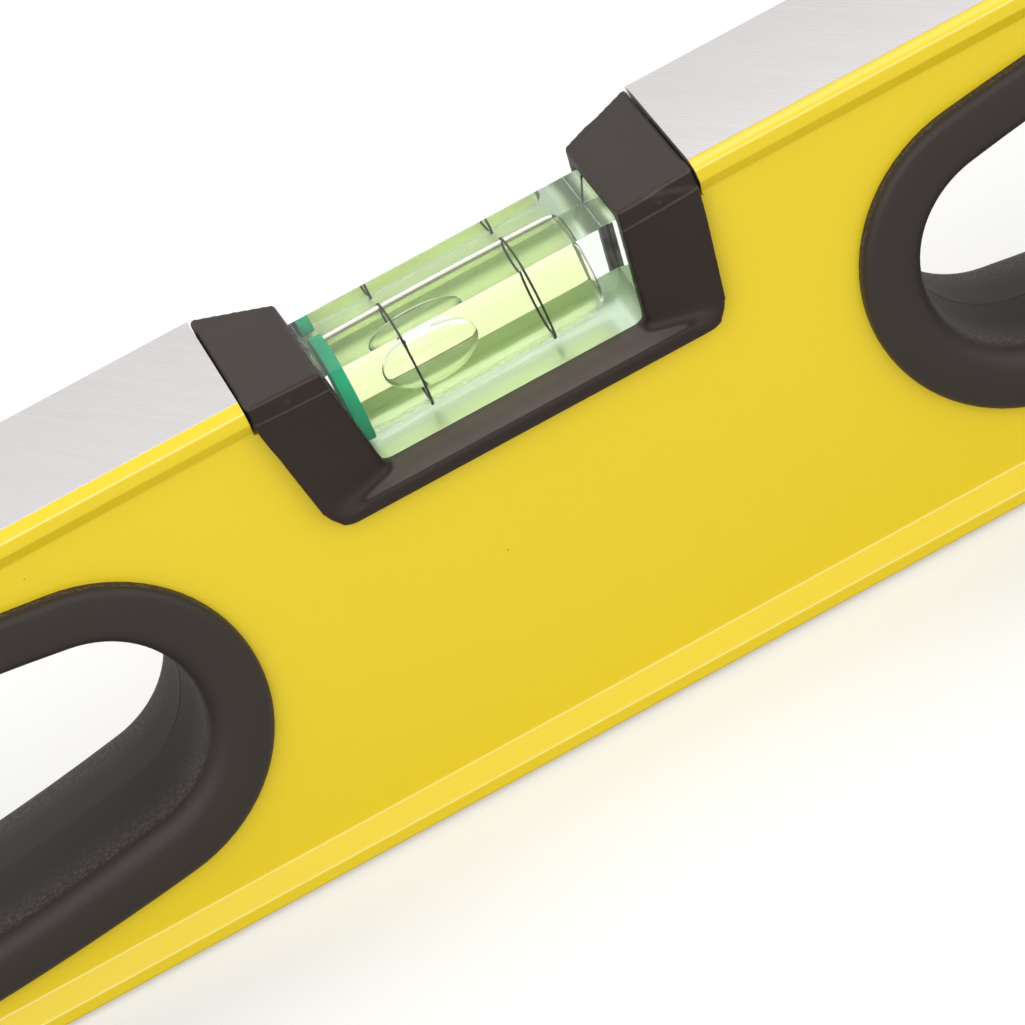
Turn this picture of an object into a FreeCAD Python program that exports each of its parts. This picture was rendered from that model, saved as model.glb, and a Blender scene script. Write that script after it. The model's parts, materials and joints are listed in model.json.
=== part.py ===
import FreeCAD, Part
import math
import os
import Sketcher

# Box-beam spirit level: an aluminium extrusion with milled top and bottom faces,
# a centre vial in a notch in the top, a plumb vial and a 45 degree vial in round
# windows near the ends, two hand-holds lined with soft grips, plastic end caps and
# magnets in the base.
# X runs along the level, Y into its depth (the front is -Y) and Z up. The origin is
# on the bottom measuring face, at the middle of its length and depth.

doc = FreeCAD.newDocument("SpiritLevel")

# Driving sizes, in millimetres and degrees.
SIZES = {
    # beam
    "level_length": 600.0,
    "beam_height": 60.0,
    "beam_depth": 25.0,
    "rail_proud": 2.0,
    "rail_face": 1.55,
    "rail_slope": 2.1,
    "corner_run": 1.5,
    "corner_drop": 0.9,
    "web_wall": 1.5,
    "sole_wall": 3.0,
    "cavity_round": 1.5,
    "edge_round": 0.6,
    # hand-holds and their grips
    "grip_centre": 105.0,
    "grip_end_shift": 46.0,
    "flange_end_radius": 20.1,
    "flange_mid_height": 23.5,
    "hold_end_radius": 12.6,
    "hold_mid_height": 16.8,
    "grip_wall": 2.2,
    "grip_proud": 2.0,
    "grip_draft": 0.45,
    "grip_fit": 0.15,
    "grip_inner_round": 2.6,
    "grip_outer_round": 1.3,
    "parting_bevel": 0.25,
    # centre vial holder
    "holder_half_width": 27.5,
    "holder_taper": 0.163,
    "holder_height": 19.85,
    "holder_shoulder_drop": 3.0,
    "wing_drop": 0.6,
    "wing_slope": 11.5,
    "holder_corner": 3.2,
    "wing_corner": 0.9,
    "notch_overlap": 1.3,
    "notch_clearance": 0.4,
    "core_fit": 0.3,
    "throat_half_width": 16.3,
    "throat_taper": 0.15,
    "throat_corner": 1.6,
    "bevel_slope": 0.32,
    "rim_height": 1.95,
    "band_height": 2.35,
    "band_depth": 0.3,
    "pip_radius": 0.6,
    "pip_place": 23.1,
    # vials
    "vial_axis_drop": 10.9,
    "vial_depth": 14.6,
    "vial_top": 6.55,
    "vial_bottom": 6.4,
    "vial_half_length": 18.1,
    "vial_corner": 2.0,
    "vial_fit": 0.15,
    "bore_radius": 5.1,
    "bore_right": 14.0,
    "bore_end_round": 1.6,
    "bore_crown": 0.06,
    "plug_radius": 5.5,
    "plug_face": 15.6,
    "plug_thickness": 1.6,
    "ring_shift": -0.65,
    "ring_spacing": 15.5,
    "ring_width": 0.4,
    "ring_wall": 0.22,
    "liquid_gap": 0.02,
    # bubbles
    "bubble_place": -6.2,
    "bubble_length": 12.8,
    "bubble_surface": 2.95,
    "bubble_turn": 65.0,
    "bubble_gap": 0.15,
    "end_bubble_height": 1.8,
    "tilted_bubble_height": 3.4,
    # end vials
    "end_vial_inset": 55.0,
    "end_vial_angle": 45.0,
    "end_holder_radius": 21.0,
    "end_flange_width": 2.0,
    "end_window_half_length": 15.6,
    "end_window_half_height": 5.7,
    "end_window_bevel": 1.6,
    # end caps
    "cap_plate": 5.0,
    "cap_inset": 0.3,
    "cap_plug": 14.0,
    "cap_wall": 2.0,
    "cap_fit": 0.15,
    "cap_corner": 3.0,
    "cap_edge": 1.5,
    # magnets
    "magnet_radius": 6.0,
    "magnet_recess": 0.1,
    "magnet_fit": 0.05,
    "magnet_inner": 24.0,
    "magnet_inset": 95.0,
}

sheet = doc.addObject("Spreadsheet::Sheet", "Sizes")
for row, (alias, number) in enumerate(SIZES.items(), start=1):
    sheet.set(f"A{row}", alias)
    sheet.set(f"B{row}", str(number))
    sheet.setAlias(f"B{row}", alias)
doc.recompute()

parts = []


def cell(text):
    """An expression in which every size name reads its cell of the sheet."""
    words = []
    word = ""
    for letter in text + " ":
        if letter.isalnum() or letter == "_":
            word += letter
        else:
            words.append(f"Sizes.{word}" if word in SIZES else word)
            words.append(letter)
            word = ""
    return "".join(words).strip()


def value(text):
    """The number that an expression on the sizes gives."""
    result = sheet.evalExpression(cell(text))
    return float(getattr(result, "Value", result))


def bind(thing, prop, text):
    thing.setExpression(prop, cell(text))


def new_body(name):
    body = doc.addObject("PartDesign::Body", name)
    body.Label = name
    return body


def new_part(thing):
    parts.append(thing)
    return thing


def plane(body, role):
    return next(item for item in body.Origin.OriginFeatures if item.Role == role)


def new_sketch(body, role, name, offset=None):
    """A sketch on one of the body's own planes, moved along the plane's normal."""
    sketch = body.newObject("Sketcher::SketchObject", name)
    sketch.AttachmentSupport = [(plane(body, role), "")]
    sketch.MapMode = "FlatFace"
    if offset:
        bind(sketch, "AttachmentOffset.Base.z", offset)
    doc.recompute()
    return sketch


def pin_point(sketch, geo, pos, across, up):
    """Hold one point of a sketch at a place given by two expressions."""
    for kind, text in (("DistanceX", across), ("DistanceY", up)):
        number = value(text)
        if abs(number) < 1e-9:
            axis = -2 if kind == "DistanceX" else -1
            sketch.addConstraint(Sketcher.Constraint("PointOnObject", geo, pos, axis))
            continue
        index = sketch.addConstraint(Sketcher.Constraint(kind, -1, 1, geo, pos, number))
        bind(sketch, f"Constraints[{index}]", text)


def draw_polygon(sketch, points):
    """A closed polygon whose corners are pairs of expressions."""
    corners = [FreeCAD.Vector(value(across), value(up), 0) for across, up in points]
    count = len(corners)
    first = sketch.GeometryCount
    for index in range(count):
        line = Part.LineSegment(corners[index], corners[(index + 1) % count])
        sketch.addGeometry(line, False)
    for index in range(count):
        here = first + index
        after = first + (index + 1) % count
        sketch.addConstraint(Sketcher.Constraint("Coincident", here, 2, after, 1))
    for index, (across, up) in enumerate(points):
        pin_point(sketch, first + index, 1, across, up)


def draw_block(sketch, half_low, low, half_high, high):
    """A four-sided outline, the same on both sides of the sketch's upright axis."""
    right = [(half_low, low), (half_high, high)]
    draw_polygon(sketch, right + [(f"-({half_high})", high), (f"-({half_low})", low)])


def draw_circle(sketch, across, up, radius):
    centre = FreeCAD.Vector(value(across), value(up), 0)
    circle = Part.Circle(centre, FreeCAD.Vector(0, 0, 1), value(radius))
    geo = sketch.addGeometry(circle, False)
    pin_point(sketch, geo, 3, across, up)
    index = sketch.addConstraint(Sketcher.Constraint("Radius", geo, value(radius)))
    bind(sketch, f"Constraints[{index}]", radius)


def draw_barrel(sketch, across, up, shift, end_radius, mid_height):
    """A closed outline of two round ends joined by long flat arcs, widest in the middle."""
    bulge = f"({mid_height} - ({end_radius}))"
    long_radius = f"(({shift})^2 + ({mid_height})^2 - ({end_radius})^2) / (2 * {bulge})"
    small = value(end_radius)
    large = value(long_radius)
    reach = value(shift)
    drop = large - value(mid_height)
    x0 = value(across)
    z0 = value(up)
    turn = math.atan2(drop, reach)
    axis = FreeCAD.Vector(0, 0, 1)
    arcs = [
        (x0 + reach, z0, small, -turn, turn),
        (x0, z0 - drop, large, turn, math.pi - turn),
        (x0 - reach, z0, small, math.pi - turn, math.pi + turn),
        (x0, z0 + drop, large, math.pi + turn, 2 * math.pi - turn),
    ]
    first = sketch.GeometryCount
    for x, z, radius, start, end in arcs:
        circle = Part.Circle(FreeCAD.Vector(x, z, 0), axis, radius)
        sketch.addGeometry(Part.ArcOfCircle(circle, start, end), False)
    for index in range(4):
        here = first + index
        after = first + (index + 1) % 4
        sketch.addConstraint(Sketcher.Constraint("Tangent", here, 2, after, 1))
    pin_point(sketch, first, 3, f"{across} + {shift}", up)
    pin_point(sketch, first + 2, 3, f"{across} - {shift}", up)
    for step, radius in enumerate((end_radius, long_radius, end_radius, long_radius)):
        geo = first + step
        index = sketch.addConstraint(Sketcher.Constraint("Radius", geo, value(radius)))
        bind(sketch, f"Constraints[{index}]", radius)


def pad(body, sketch, length, both_ways=False, reverse=False):
    feature = body.newObject("PartDesign::Pad", sketch.Name + "Pad")
    feature.Profile = sketch
    feature.Midplane = both_ways
    feature.Reversed = reverse
    bind(feature, "Length", length)
    doc.recompute()
    return feature


def pocket(body, sketch, length, both_ways=False, reverse=False):
    """Cut a sketch out of its body, and stop if nothing was cut."""
    before = body.Shape.Volume
    feature = body.newObject("PartDesign::Pocket", sketch.Name + "Cut")
    feature.Profile = sketch
    feature.Midplane = both_ways
    feature.Reversed = reverse
    bind(feature, "Length", length)
    doc.recompute()
    if body.Shape.Volume > before - 1e-6:
        raise RuntimeError(f"{feature.Name} cuts nothing")
    return feature


def find_edges(feature, test):
    """Names of a feature's edges whose middle and direction pass a test."""
    names = []
    for index, edge in enumerate(feature.Shape.Edges, start=1):
        middle = edge.valueAt((edge.FirstParameter + edge.LastParameter) / 2)
        start = edge.valueAt(edge.FirstParameter)
        end = edge.valueAt(edge.LastParameter)
        if test(middle, end - start, edge):
            names.append(f"Edge{index}")
    return names


def dress(body, kind, feature, prop, size, test):
    """A fillet or chamfer on the edges of the last feature that pass a test."""
    names = find_edges(feature, test)
    if not names:
        raise RuntimeError(f"no edges for a {kind} on {body.Label}")
    result = body.newObject(f"PartDesign::{kind}", feature.Name + kind)
    result.Base = (feature, names)
    bind(result, prop, size)
    doc.recompute()
    return result


def near(a, b, slack=0.02):
    return abs(a - b) < slack


def turned(body, sketch, kind, name):
    """Revolve a sketch a full turn about its own horizontal axis."""
    feature = body.newObject(f"PartDesign::{kind}", name)
    feature.Profile = sketch
    feature.ReferenceAxis = (sketch, ["H_Axis"])
    feature.Angle = 360.0
    doc.recompute()
    return feature


# Heights and depths that several pieces share.
MID = "beam_height / 2"
FRONT = "beam_depth / 2"
PANEL = "(beam_depth / 2 - rail_proud)"
RAIL_FOOT = "(corner_drop + rail_face + rail_slope)"
BEAM_LENGTH = "(level_length - 2 * cap_plate)"
CAVITY_HALF = "(beam_depth / 2 - rail_proud - web_wall)"
HOLDER_BOTTOM = "(beam_height - holder_height)"
SHOULDER = "(beam_height - holder_shoulder_drop)"
WING_TOP = "(beam_height - wing_drop)"
VIAL_AXIS = "(beam_height - vial_axis_drop)"
END_VIAL = "(level_length / 2 - end_vial_inset)"
END_MAGNET = "(level_length / 2 - magnet_inset)"
MAGNET_PLACES = (f"-{END_MAGNET}", "-magnet_inner", "magnet_inner", END_MAGNET)
HOLE_END = "(hold_end_radius + grip_wall)"
HOLE_MID = "(hold_mid_height + grip_wall)"
HALF_GRIP = "(beam_depth / 2 - rail_proud + grip_proud)"


def holder_half(height, inset="0"):
    """Half the holder's width at a height below its shoulder."""
    return f"(holder_half_width - holder_taper * ({SHOULDER} - ({height})) - ({inset}))"


def make_beam():
    """The extrusion: a hollow box with proud rails top and bottom, cut for every insert."""
    body = new_body("beam")
    section = new_sketch(body, "YZ_Plane", "beam_section")
    milled = f"({FRONT} - corner_run)"
    upper = [
        (milled, "beam_height"),
        (FRONT, "beam_height - corner_drop"),
        (FRONT, "beam_height - corner_drop - rail_face"),
        (PANEL, f"beam_height - {RAIL_FOOT}"),
    ]
    right = upper + [(across, f"beam_height - ({up})") for across, up in reversed(upper)]
    left = [(f"-({across})", up) for across, up in reversed(right)]
    draw_polygon(section, right + left)
    draw_block(section, CAVITY_HALF, "sole_wall", CAVITY_HALF, "beam_height - sole_wall")
    tube = pad(body, section, BEAM_LENGTH, both_ways=True)

    half = value(FRONT)
    panel = value(PANEL)
    inner = value(CAVITY_HALF)
    height = value("beam_height")
    rails = [value("corner_drop"), value("corner_drop + rail_face")]
    rails += [height - rail for rail in rails]
    feet = [value(RAIL_FOOT), height - value(RAIL_FOOT)]

    def rail_edge(middle, way, edge):
        on_rail = near(abs(middle.y), half) and any(near(middle.z, rail) for rail in rails)
        at_foot = near(abs(middle.y), panel) and any(near(middle.z, foot) for foot in feet)
        return abs(way.x) > 100 and (on_rail or at_foot)

    def cavity_edge(middle, way, edge):
        return abs(way.x) > 100 and near(abs(middle.y), inner)

    rounded = dress(body, "Fillet", tube, "Radius", "edge_round", rail_edge)
    rounded = dress(body, "Fillet", rounded, "Radius", "cavity_round", cavity_edge)

    holds = new_sketch(body, "XZ_Plane", "beam_hand_holds")
    for side in ("-grip_centre", "grip_centre"):
        draw_barrel(holds, side, MID, "grip_end_shift", HOLE_END, HOLE_MID)
    pocket(body, holds, "2 * beam_depth", both_ways=True)

    windows = new_sketch(body, "XZ_Plane", "beam_end_windows")
    for side in (f"-{END_VIAL}", END_VIAL):
        draw_circle(windows, side, MID, "end_holder_radius + core_fit")
    pocket(body, windows, "2 * beam_depth", both_ways=True)

    web_top = f"(beam_height - {RAIL_FOOT} - notch_clearance)"
    notch = new_sketch(body, "XZ_Plane", "beam_notch")
    low = f"({HOLDER_BOTTOM} + notch_overlap)"
    wide = holder_half(web_top, "notch_overlap")
    narrow = holder_half(low, "notch_overlap")
    mouth = "(holder_half_width + notch_clearance)"
    outline = [
        (narrow, low),
        (wide, web_top),
        (mouth, web_top),
        (mouth, "beam_height + 1"),
    ]
    draw_polygon(notch, outline + [(f"-{across}", up) for across, up in reversed(outline)])
    pocket(body, notch, "2 * beam_depth", both_ways=True)

    seats = new_sketch(body, "XY_Plane", "beam_magnet_seats")
    for place in MAGNET_PLACES:
        draw_circle(seats, place, "0", "magnet_radius + magnet_fit")
    pocket(body, seats, "sole_wall + 0.5", reverse=True)
    return new_part(body)


def make_grip_half(name, side, back):
    """Half of a hand-hold lining: a proud flange and a sleeve that ends at mid depth."""
    body = new_body(name)
    hole = new_sketch(body, "XZ_Plane", name + "_sleeve")
    sleeve = (f"{HOLE_END} - grip_fit", f"{HOLE_MID} - grip_fit")
    draw_barrel(hole, "0", "0", "grip_end_shift", *sleeve)
    pad(body, hole, PANEL)
    rim = new_sketch(body, "XZ_Plane", name + "_flange", PANEL)
    draw_barrel(rim, "0", "0", "grip_end_shift", "flange_end_radius", "flange_mid_height")
    pad(body, rim, "grip_proud")
    hold = new_sketch(body, "XZ_Plane", name + "_hold")
    waist = ("hold_end_radius - grip_draft", "hold_mid_height - grip_draft")
    draw_barrel(hold, "0", "0", "grip_end_shift", *waist)
    cut = pocket(body, hold, HALF_GRIP, reverse=True)
    bind(cut, "TaperAngle", f"atan(grip_draft / {HALF_GRIP})")
    doc.recompute()

    face = -value(HALF_GRIP)
    limit = value("hold_mid_height") + 0.05
    reach = value("grip_end_shift + hold_end_radius") + 0.05

    def inside(middle):
        return abs(middle.z) < limit and abs(middle.x) < reach

    def inner_front(middle, way, edge):
        return near(middle.y, face) and inside(middle)

    def outer_front(middle, way, edge):
        return near(middle.y, face) and not inside(middle)

    def inner_parting(middle, way, edge):
        return near(middle.y, 0) and inside(middle)

    soft = dress(body, "Fillet", cut, "Radius", "grip_inner_round", inner_front)
    soft = dress(body, "Fillet", soft, "Radius", "grip_outer_round", outer_front)
    dress(body, "Chamfer", soft, "Size", "parting_bevel", inner_parting)
    if back:
        body.Placement.Rotation = FreeCAD.Rotation(FreeCAD.Vector(0, 0, 1), 180)
    bind(body, "Placement.Base.x", f"{side} * grip_centre")
    bind(body, "Placement.Base.z", MID)
    return new_part(body)


def make_centre_holder():
    """The moulded saddle in the notch: front and back frames on a core, with sloping wings."""
    body = new_body("centre_holder")
    shape = new_sketch(body, "XZ_Plane", "holder_outline")
    rise = "tan(wing_slope * 1 deg)"
    floor = f"({VIAL_AXIS} - vial_bottom)"
    foot = holder_half(HOLDER_BOTTOM)
    wing_run = "(holder_half_width - throat_half_width)"
    wing_low = f"({WING_TOP} - {floor} - {wing_run} * {rise})"
    wing_foot = f"({wing_low} / (1 - throat_taper * {rise}))"
    wing_inner = f"(throat_half_width + throat_taper * {wing_foot})"
    outline = [
        (foot, HOLDER_BOTTOM),
        ("holder_half_width", SHOULDER),
        ("holder_half_width", WING_TOP),
        (wing_inner, f"{floor} + {wing_foot}"),
        ("throat_half_width", floor),
    ]
    draw_polygon(shape, outline + [(f"-{across}", up) for across, up in reversed(outline)])
    solid = pad(body, shape, "beam_depth", both_ways=True)

    low = value(HOLDER_BOTTOM)
    base = value(floor)

    def corner(middle, way, edge):
        return near(middle.z, low) and abs(way.y) > 20

    def throat_corner(middle, way, edge):
        return near(middle.z, base) and abs(way.y) > 20

    wide = value("holder_half_width")
    half = value(FRONT)

    def wing_corner(middle, way, edge):
        return near(abs(middle.x), wide) and near(abs(middle.y), half) and abs(way.z) > 1

    solid = dress(body, "Fillet", solid, "Radius", "holder_corner", corner)
    solid = dress(body, "Fillet", solid, "Radius", "throat_corner", throat_corner)
    dress(body, "Fillet", solid, "Radius", "wing_corner", wing_corner)

    # the core between the frames is narrower, so that it drops between the cut webs
    web_top = f"(beam_height - {RAIL_FOOT})"
    ring = new_sketch(body, "XZ_Plane", "holder_core")
    inset = "notch_overlap + core_fit"
    core_low = f"({HOLDER_BOTTOM} + {inset})"
    waist = [
        (holder_half(core_low, inset), core_low),
        (holder_half(web_top, inset), web_top),
        ("holder_half_width + 1", web_top),
        ("holder_half_width + 1", f"{HOLDER_BOTTOM} - 1"),
    ]
    draw_polygon(ring, waist + [(f"-({across})", up) for across, up in reversed(waist)])
    pocket(body, ring, f"2 * {PANEL}", both_ways=True)

    # the vial's seat, held front and back by the edges of the throat
    seat = new_sketch(body, "XZ_Plane", "holder_seat")
    seat_low = "(vial_half_length + vial_fit - throat_taper * vial_bottom)"
    seat_high = "(vial_half_length + vial_fit + throat_taper * (vial_top + vial_fit))"
    ceiling = f"({VIAL_AXIS} + vial_top + vial_fit)"
    draw_block(seat, seat_low, floor, seat_high, ceiling)
    pocket(body, seat, "vial_depth + 2 * vial_fit", both_ways=True)

    # the frames slope in from their outline to the throat, front and back
    near_edge = f"({HOLDER_BOTTOM} + rim_height)"
    throat = f"(throat_half_width + throat_taper * ({SHOULDER} - {floor}))"
    lip = f"({FRONT} - bevel_slope * (holder_half_width - {throat}))"
    for side, name in ((1, "front"), (-1, "back")):
        outer = new_sketch(body, "XZ_Plane", f"holder_{name}_rim", f"{side} * {FRONT}")
        mouth = [
            (holder_half(near_edge), near_edge),
            ("holder_half_width", SHOULDER),
            ("holder_half_width", "beam_height + 2"),
        ]
        draw_polygon(outer, mouth + [(f"-{across}", up) for across, up in reversed(mouth)])
        inner = new_sketch(body, "XZ_Plane", f"holder_{name}_throat", f"{side} * {lip}")
        neck = [
            ("throat_half_width", floor),
            (throat, SHOULDER),
            (f"throat_half_width + throat_taper * (beam_height + 2 - {floor})", "beam_height + 2"),
        ]
        draw_polygon(inner, neck + [(f"-({across})", up) for across, up in reversed(neck)])
        before = body.Shape.Volume
        funnel = body.newObject("PartDesign::SubtractiveLoft", f"holder_{name}_bevel")
        funnel.Profile = outer
        funnel.Sections = [inner]
        funnel.Ruled = True
        doc.recompute()
        if body.Shape.Volume > before - 1e-6:
            raise RuntimeError("the bevel cuts nothing")
    add_band_and_pips(body)
    return new_part(body)


def add_band_and_pips(body):
    """The set-back band under each wing's front edge, with a small moulded pip in it."""
    band = body.newObject("Sketcher::SketchObject", "holder_band")
    band.AttachmentSupport = [(plane(body, "XY_Plane"), "")]
    band.MapMode = "FlatFace"
    tilt = FreeCAD.Rotation(FreeCAD.Vector(0, 1, 0), -value("wing_slope"))
    band.AttachmentOffset = FreeCAD.Placement(FreeCAD.Vector(0, 0, 0), tilt)
    bind(band, "AttachmentOffset.Rotation.Angle", "wing_slope")
    bind(band, "AttachmentOffset.Base.x", "holder_half_width")
    bind(band, "AttachmentOffset.Base.z", f"{WING_TOP} - band_height")
    doc.recompute()
    run = "(holder_half_width - throat_half_width)"
    skin = f"({FRONT} - band_depth)"
    for side in ("-1", "1"):
        face = [
            ("1", f"{side} * ({skin} + bevel_slope)"),
            (f"-{run}", f"{side} * ({skin} - bevel_slope * {run})"),
            (f"-{run}", f"{side} * ({FRONT} + 1)"),
            ("1", f"{side} * ({FRONT} + 1)"),
        ]
        draw_polygon(band, face)
    copies = [pocket(body, band, "2 * band_height", reverse=True)]
    inward = "(holder_half_width - pip_place)"
    seat = f"({FRONT} - band_depth - bevel_slope * {inward})"
    slope = f"{inward} * tan(wing_slope * 1 deg)"
    height = f"({WING_TOP} - band_height - {slope} + pip_radius)"
    for side, word in ((-1, "front"), (1, "back")):
        pip = body.newObject("PartDesign::AdditiveSphere", f"holder_{word}_pip")
        bind(pip, "Radius", "pip_radius")
        bind(pip, "Placement.Base.x", "pip_place")
        bind(pip, "Placement.Base.y", f"{side} * {seat}")
        bind(pip, "Placement.Base.z", height)
        doc.recompute()
        copies.append(pip)
    twin = body.newObject("PartDesign::Mirrored", "holder_other_wing")
    twin.Originals = copies
    twin.MirrorPlane = (plane(body, "YZ_Plane"), [""])
    body.Tip = twin
    doc.recompute()


def draw_path(sketch, stops):
    """A closed outline of lines and arcs. Each stop is across, up and the radius of the
    arc that leads on from it, turning clockwise, or None for a line."""
    spots = [FreeCAD.Vector(value(across), value(up), 0) for across, up, radius in stops]
    count = len(spots)
    first = sketch.GeometryCount
    reversed_arcs = set()
    for index, (across, up, radius) in enumerate(stops):
        here = spots[index]
        after = spots[(index + 1) % count]
        if radius is None:
            sketch.addGeometry(Part.LineSegment(here, after), False)
            continue
        chord = after - here
        size = value(radius)
        rise = math.sqrt(size ** 2 - (chord.Length / 2) ** 2)
        right = FreeCAD.Vector(chord.y, -chord.x, 0).normalize()
        centre = (here + after) * 0.5 + right * rise
        circle = Part.Circle(centre, FreeCAD.Vector(0, 0, 1), size)
        start = math.atan2(after.y - centre.y, after.x - centre.x)
        end = math.atan2(here.y - centre.y, here.x - centre.x)
        geo = sketch.addGeometry(Part.ArcOfCircle(circle, start, end), False)
        reversed_arcs.add(geo)
        number = sketch.addConstraint(Sketcher.Constraint("Radius", geo, size))
        bind(sketch, f"Constraints[{number}]", radius)
    for index, (across, up, radius) in enumerate(stops):
        here = first + index
        after = first + (index + 1) % count
        leave = 1 if here in reversed_arcs else 2
        enter = 2 if after in reversed_arcs else 1
        sketch.addConstraint(Sketcher.Constraint("Coincident", here, leave, after, enter))
        start = 2 if here in reversed_arcs else 1
        pin_point(sketch, here, start, across, up)


def bore_path(left, gap, wide="0"):
    """Half the bore's long section from a left end: a barrel with a rounded blind end."""
    side = f"(bore_radius - bore_crown - ({gap}) - ({wide}))"
    far = "(bore_right - bore_end_round)"
    chord = f"({far} - ({left}))"
    crown_radius = f"({chord}^2 / 4 + bore_crown^2) / (2 * bore_crown)"
    return [
        (left, "0", None),
        (left, side, crown_radius),
        (far, side, f"(bore_end_round - ({gap}))"),
        (f"bore_right - ({gap})", f"{side} - (bore_end_round - ({gap}))", None),
        (f"bore_right - ({gap})", "0", None),
    ]


def make_vial_block(name, taper):
    """The clear block: a bore drilled from its left end, the plug's seat and two grooves."""
    body = new_body(name)
    shape = new_sketch(body, "XZ_Plane", name + "_outline")
    low = f"(vial_half_length - {taper} * vial_bottom)"
    high = f"(vial_half_length + {taper} * vial_top)"
    draw_block(shape, low, "-vial_bottom", high, "vial_top")
    solid = pad(body, shape, "vial_depth", both_ways=True)
    base = -value("vial_bottom")

    def lower_corner(middle, way, edge):
        return near(middle.z, base) and abs(way.y) > 5

    dress(body, "Fillet", solid, "Radius", "vial_corner", lower_corner)
    bore = new_sketch(body, "XZ_Plane", name + "_bore")
    draw_path(bore, bore_path("-plug_face", "0"))
    turned(body, bore, "Groove", name + "_bore_cut")
    seat = new_sketch(body, "XZ_Plane", name + "_plug_seat")
    mouth = f"(vial_half_length + {taper} * vial_top + 1)"
    rim = [(f"-{mouth}", "0"), (f"-{mouth}", "plug_radius")]
    draw_polygon(seat, rim + [("-plug_face", "plug_radius"), ("-plug_face", "0")])
    turned(body, seat, "Groove", name + "_plug_seat_cut")
    grooves = new_sketch(body, "XZ_Plane", name + "_grooves")
    half = "(ring_width / 2 + liquid_gap)"
    deep = "(bore_radius + ring_wall + liquid_gap)"
    for side in ("-1", "1"):
        centre = f"(ring_shift + {side} * ring_spacing / 2)"
        corners = [(f"{centre} - {half}", deep), (f"{centre} + {half}", deep)]
        inner = "bore_radius - 1"
        corners += [(f"{centre} + {half}", inner), (f"{centre} - {half}", inner)]
        draw_polygon(grooves, corners)
    turned(body, grooves, "Groove", name + "_groove_cut")
    return new_part(body)


def make_ring(name, side):
    """A black graduation ring in its groove round the bore."""
    body = new_body(name)
    shape = new_sketch(body, "XZ_Plane", name + "_section")
    centre = f"(ring_shift + {side} * ring_spacing / 2)"
    outer = "(bore_radius + ring_wall)"
    left = f"{centre} - ring_width / 2"
    right = f"{centre} + ring_width / 2"
    draw_polygon(shape, [(left, outer), (right, outer), (right, "bore_radius"), (left, "bore_radius")])
    turned(body, shape, "Revolution", name + "_turn")
    return new_part(body)


def make_plug(name):
    """The green plug that closes the bore."""
    body = new_body(name)
    shape = new_sketch(body, "YZ_Plane", name + "_face", "-plug_face")
    draw_circle(shape, "0", "0", "plug_radius - liquid_gap")
    disc = pad(body, shape, "plug_thickness", reverse=True)
    back = -value("plug_face + plug_thickness")

    def outer_rim(middle, way, edge):
        return near(middle.x, back)

    dress(body, "Chamfer", disc, "Size", "edge_round / 2", outer_rim)
    return new_part(body)


def make_level_bubble(name, grow):
    """A bubble that lies along a level bore, flat below. The level leans back, so that its
    bubble has turned from the top of the bore towards the front."""
    body = new_body(name)
    radius = f"(bore_radius - bubble_gap + {grow})"
    surface = f"(bubble_surface - {grow})"
    shape = body.newObject("PartDesign::AdditiveEllipsoid", name + "_round")
    bind(shape, "Radius1", radius)
    bind(shape, "Radius3", radius)
    half_length = f"(bubble_length / 2 + 2 * {grow})"
    bind(shape, "Radius2", f"{half_length} / sqrt(1 - ({surface} / {radius})^2)")
    doc.recompute()
    flat = new_sketch(body, "XY_Plane", name + "_surface", surface)
    wide = "(bubble_length + bore_radius)"
    draw_polygon(flat, [(f"-{wide}", f"-{wide}"), (wide, f"-{wide}"), (wide, wide), (f"-{wide}", wide)])
    pocket(body, flat, "4 * bore_radius")
    body.Placement.Rotation = FreeCAD.Rotation(FreeCAD.Vector(1, 0, 0), 0)
    body.Placement.Rotation.Axis = FreeCAD.Vector(1, 0, 0)
    bind(body, "Placement.Rotation.Angle", "bubble_turn * 1 deg")
    return body


def make_end_bubble(name, angle, height, grow):
    """A bubble at the top of a bore that stands at an angle, flat where it meets the liquid."""
    body = new_body(name)
    gap = f"(bubble_gap - {grow})"
    tube = new_sketch(body, "XZ_Plane", name + "_tube")
    draw_path(tube, bore_path("-plug_face + bubble_gap", gap))
    turned(body, tube, "Revolution", name + "_turn")
    rise = f"sin({angle} * 1 deg)"
    run = f"cos({angle} * 1 deg)"
    top = f"((bore_right - bubble_gap) * {rise} + (bore_radius - bubble_gap) * {run})"
    level = f"({top} - {height} - {grow})"
    below = new_sketch(body, "XZ_Plane", name + "_surface")
    reach = "(4 * bore_radius + bore_right)"
    corners = []
    for along, down in ((-1, 0), (1, 0), (1, 1), (-1, 1)):
        across = f"{level} * {rise} + {along} * {reach} * {run} - {down} * 3 * {reach} * {rise}"
        up = f"{level} * {run} - {along} * {reach} * {rise} - {down} * 3 * {reach} * {run}"
        corners.append((across, up))
    draw_polygon(below, corners)
    pocket(body, below, "4 * bore_radius", both_ways=True)
    return body


def make_liquid(name, void):
    """The liquid: the whole bore less the bubble's room."""
    body = new_body(name + "_fill")
    shape = new_sketch(body, "XZ_Plane", name + "_section")
    draw_path(shape, bore_path("-plug_face + liquid_gap", "liquid_gap"))
    turned(body, shape, "Revolution", name + "_turn")
    liquid = doc.addObject("Part::Cut", name)
    liquid.Label = name
    liquid.Base = body
    liquid.Tool = void
    doc.recompute()
    return new_part(liquid)


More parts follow.
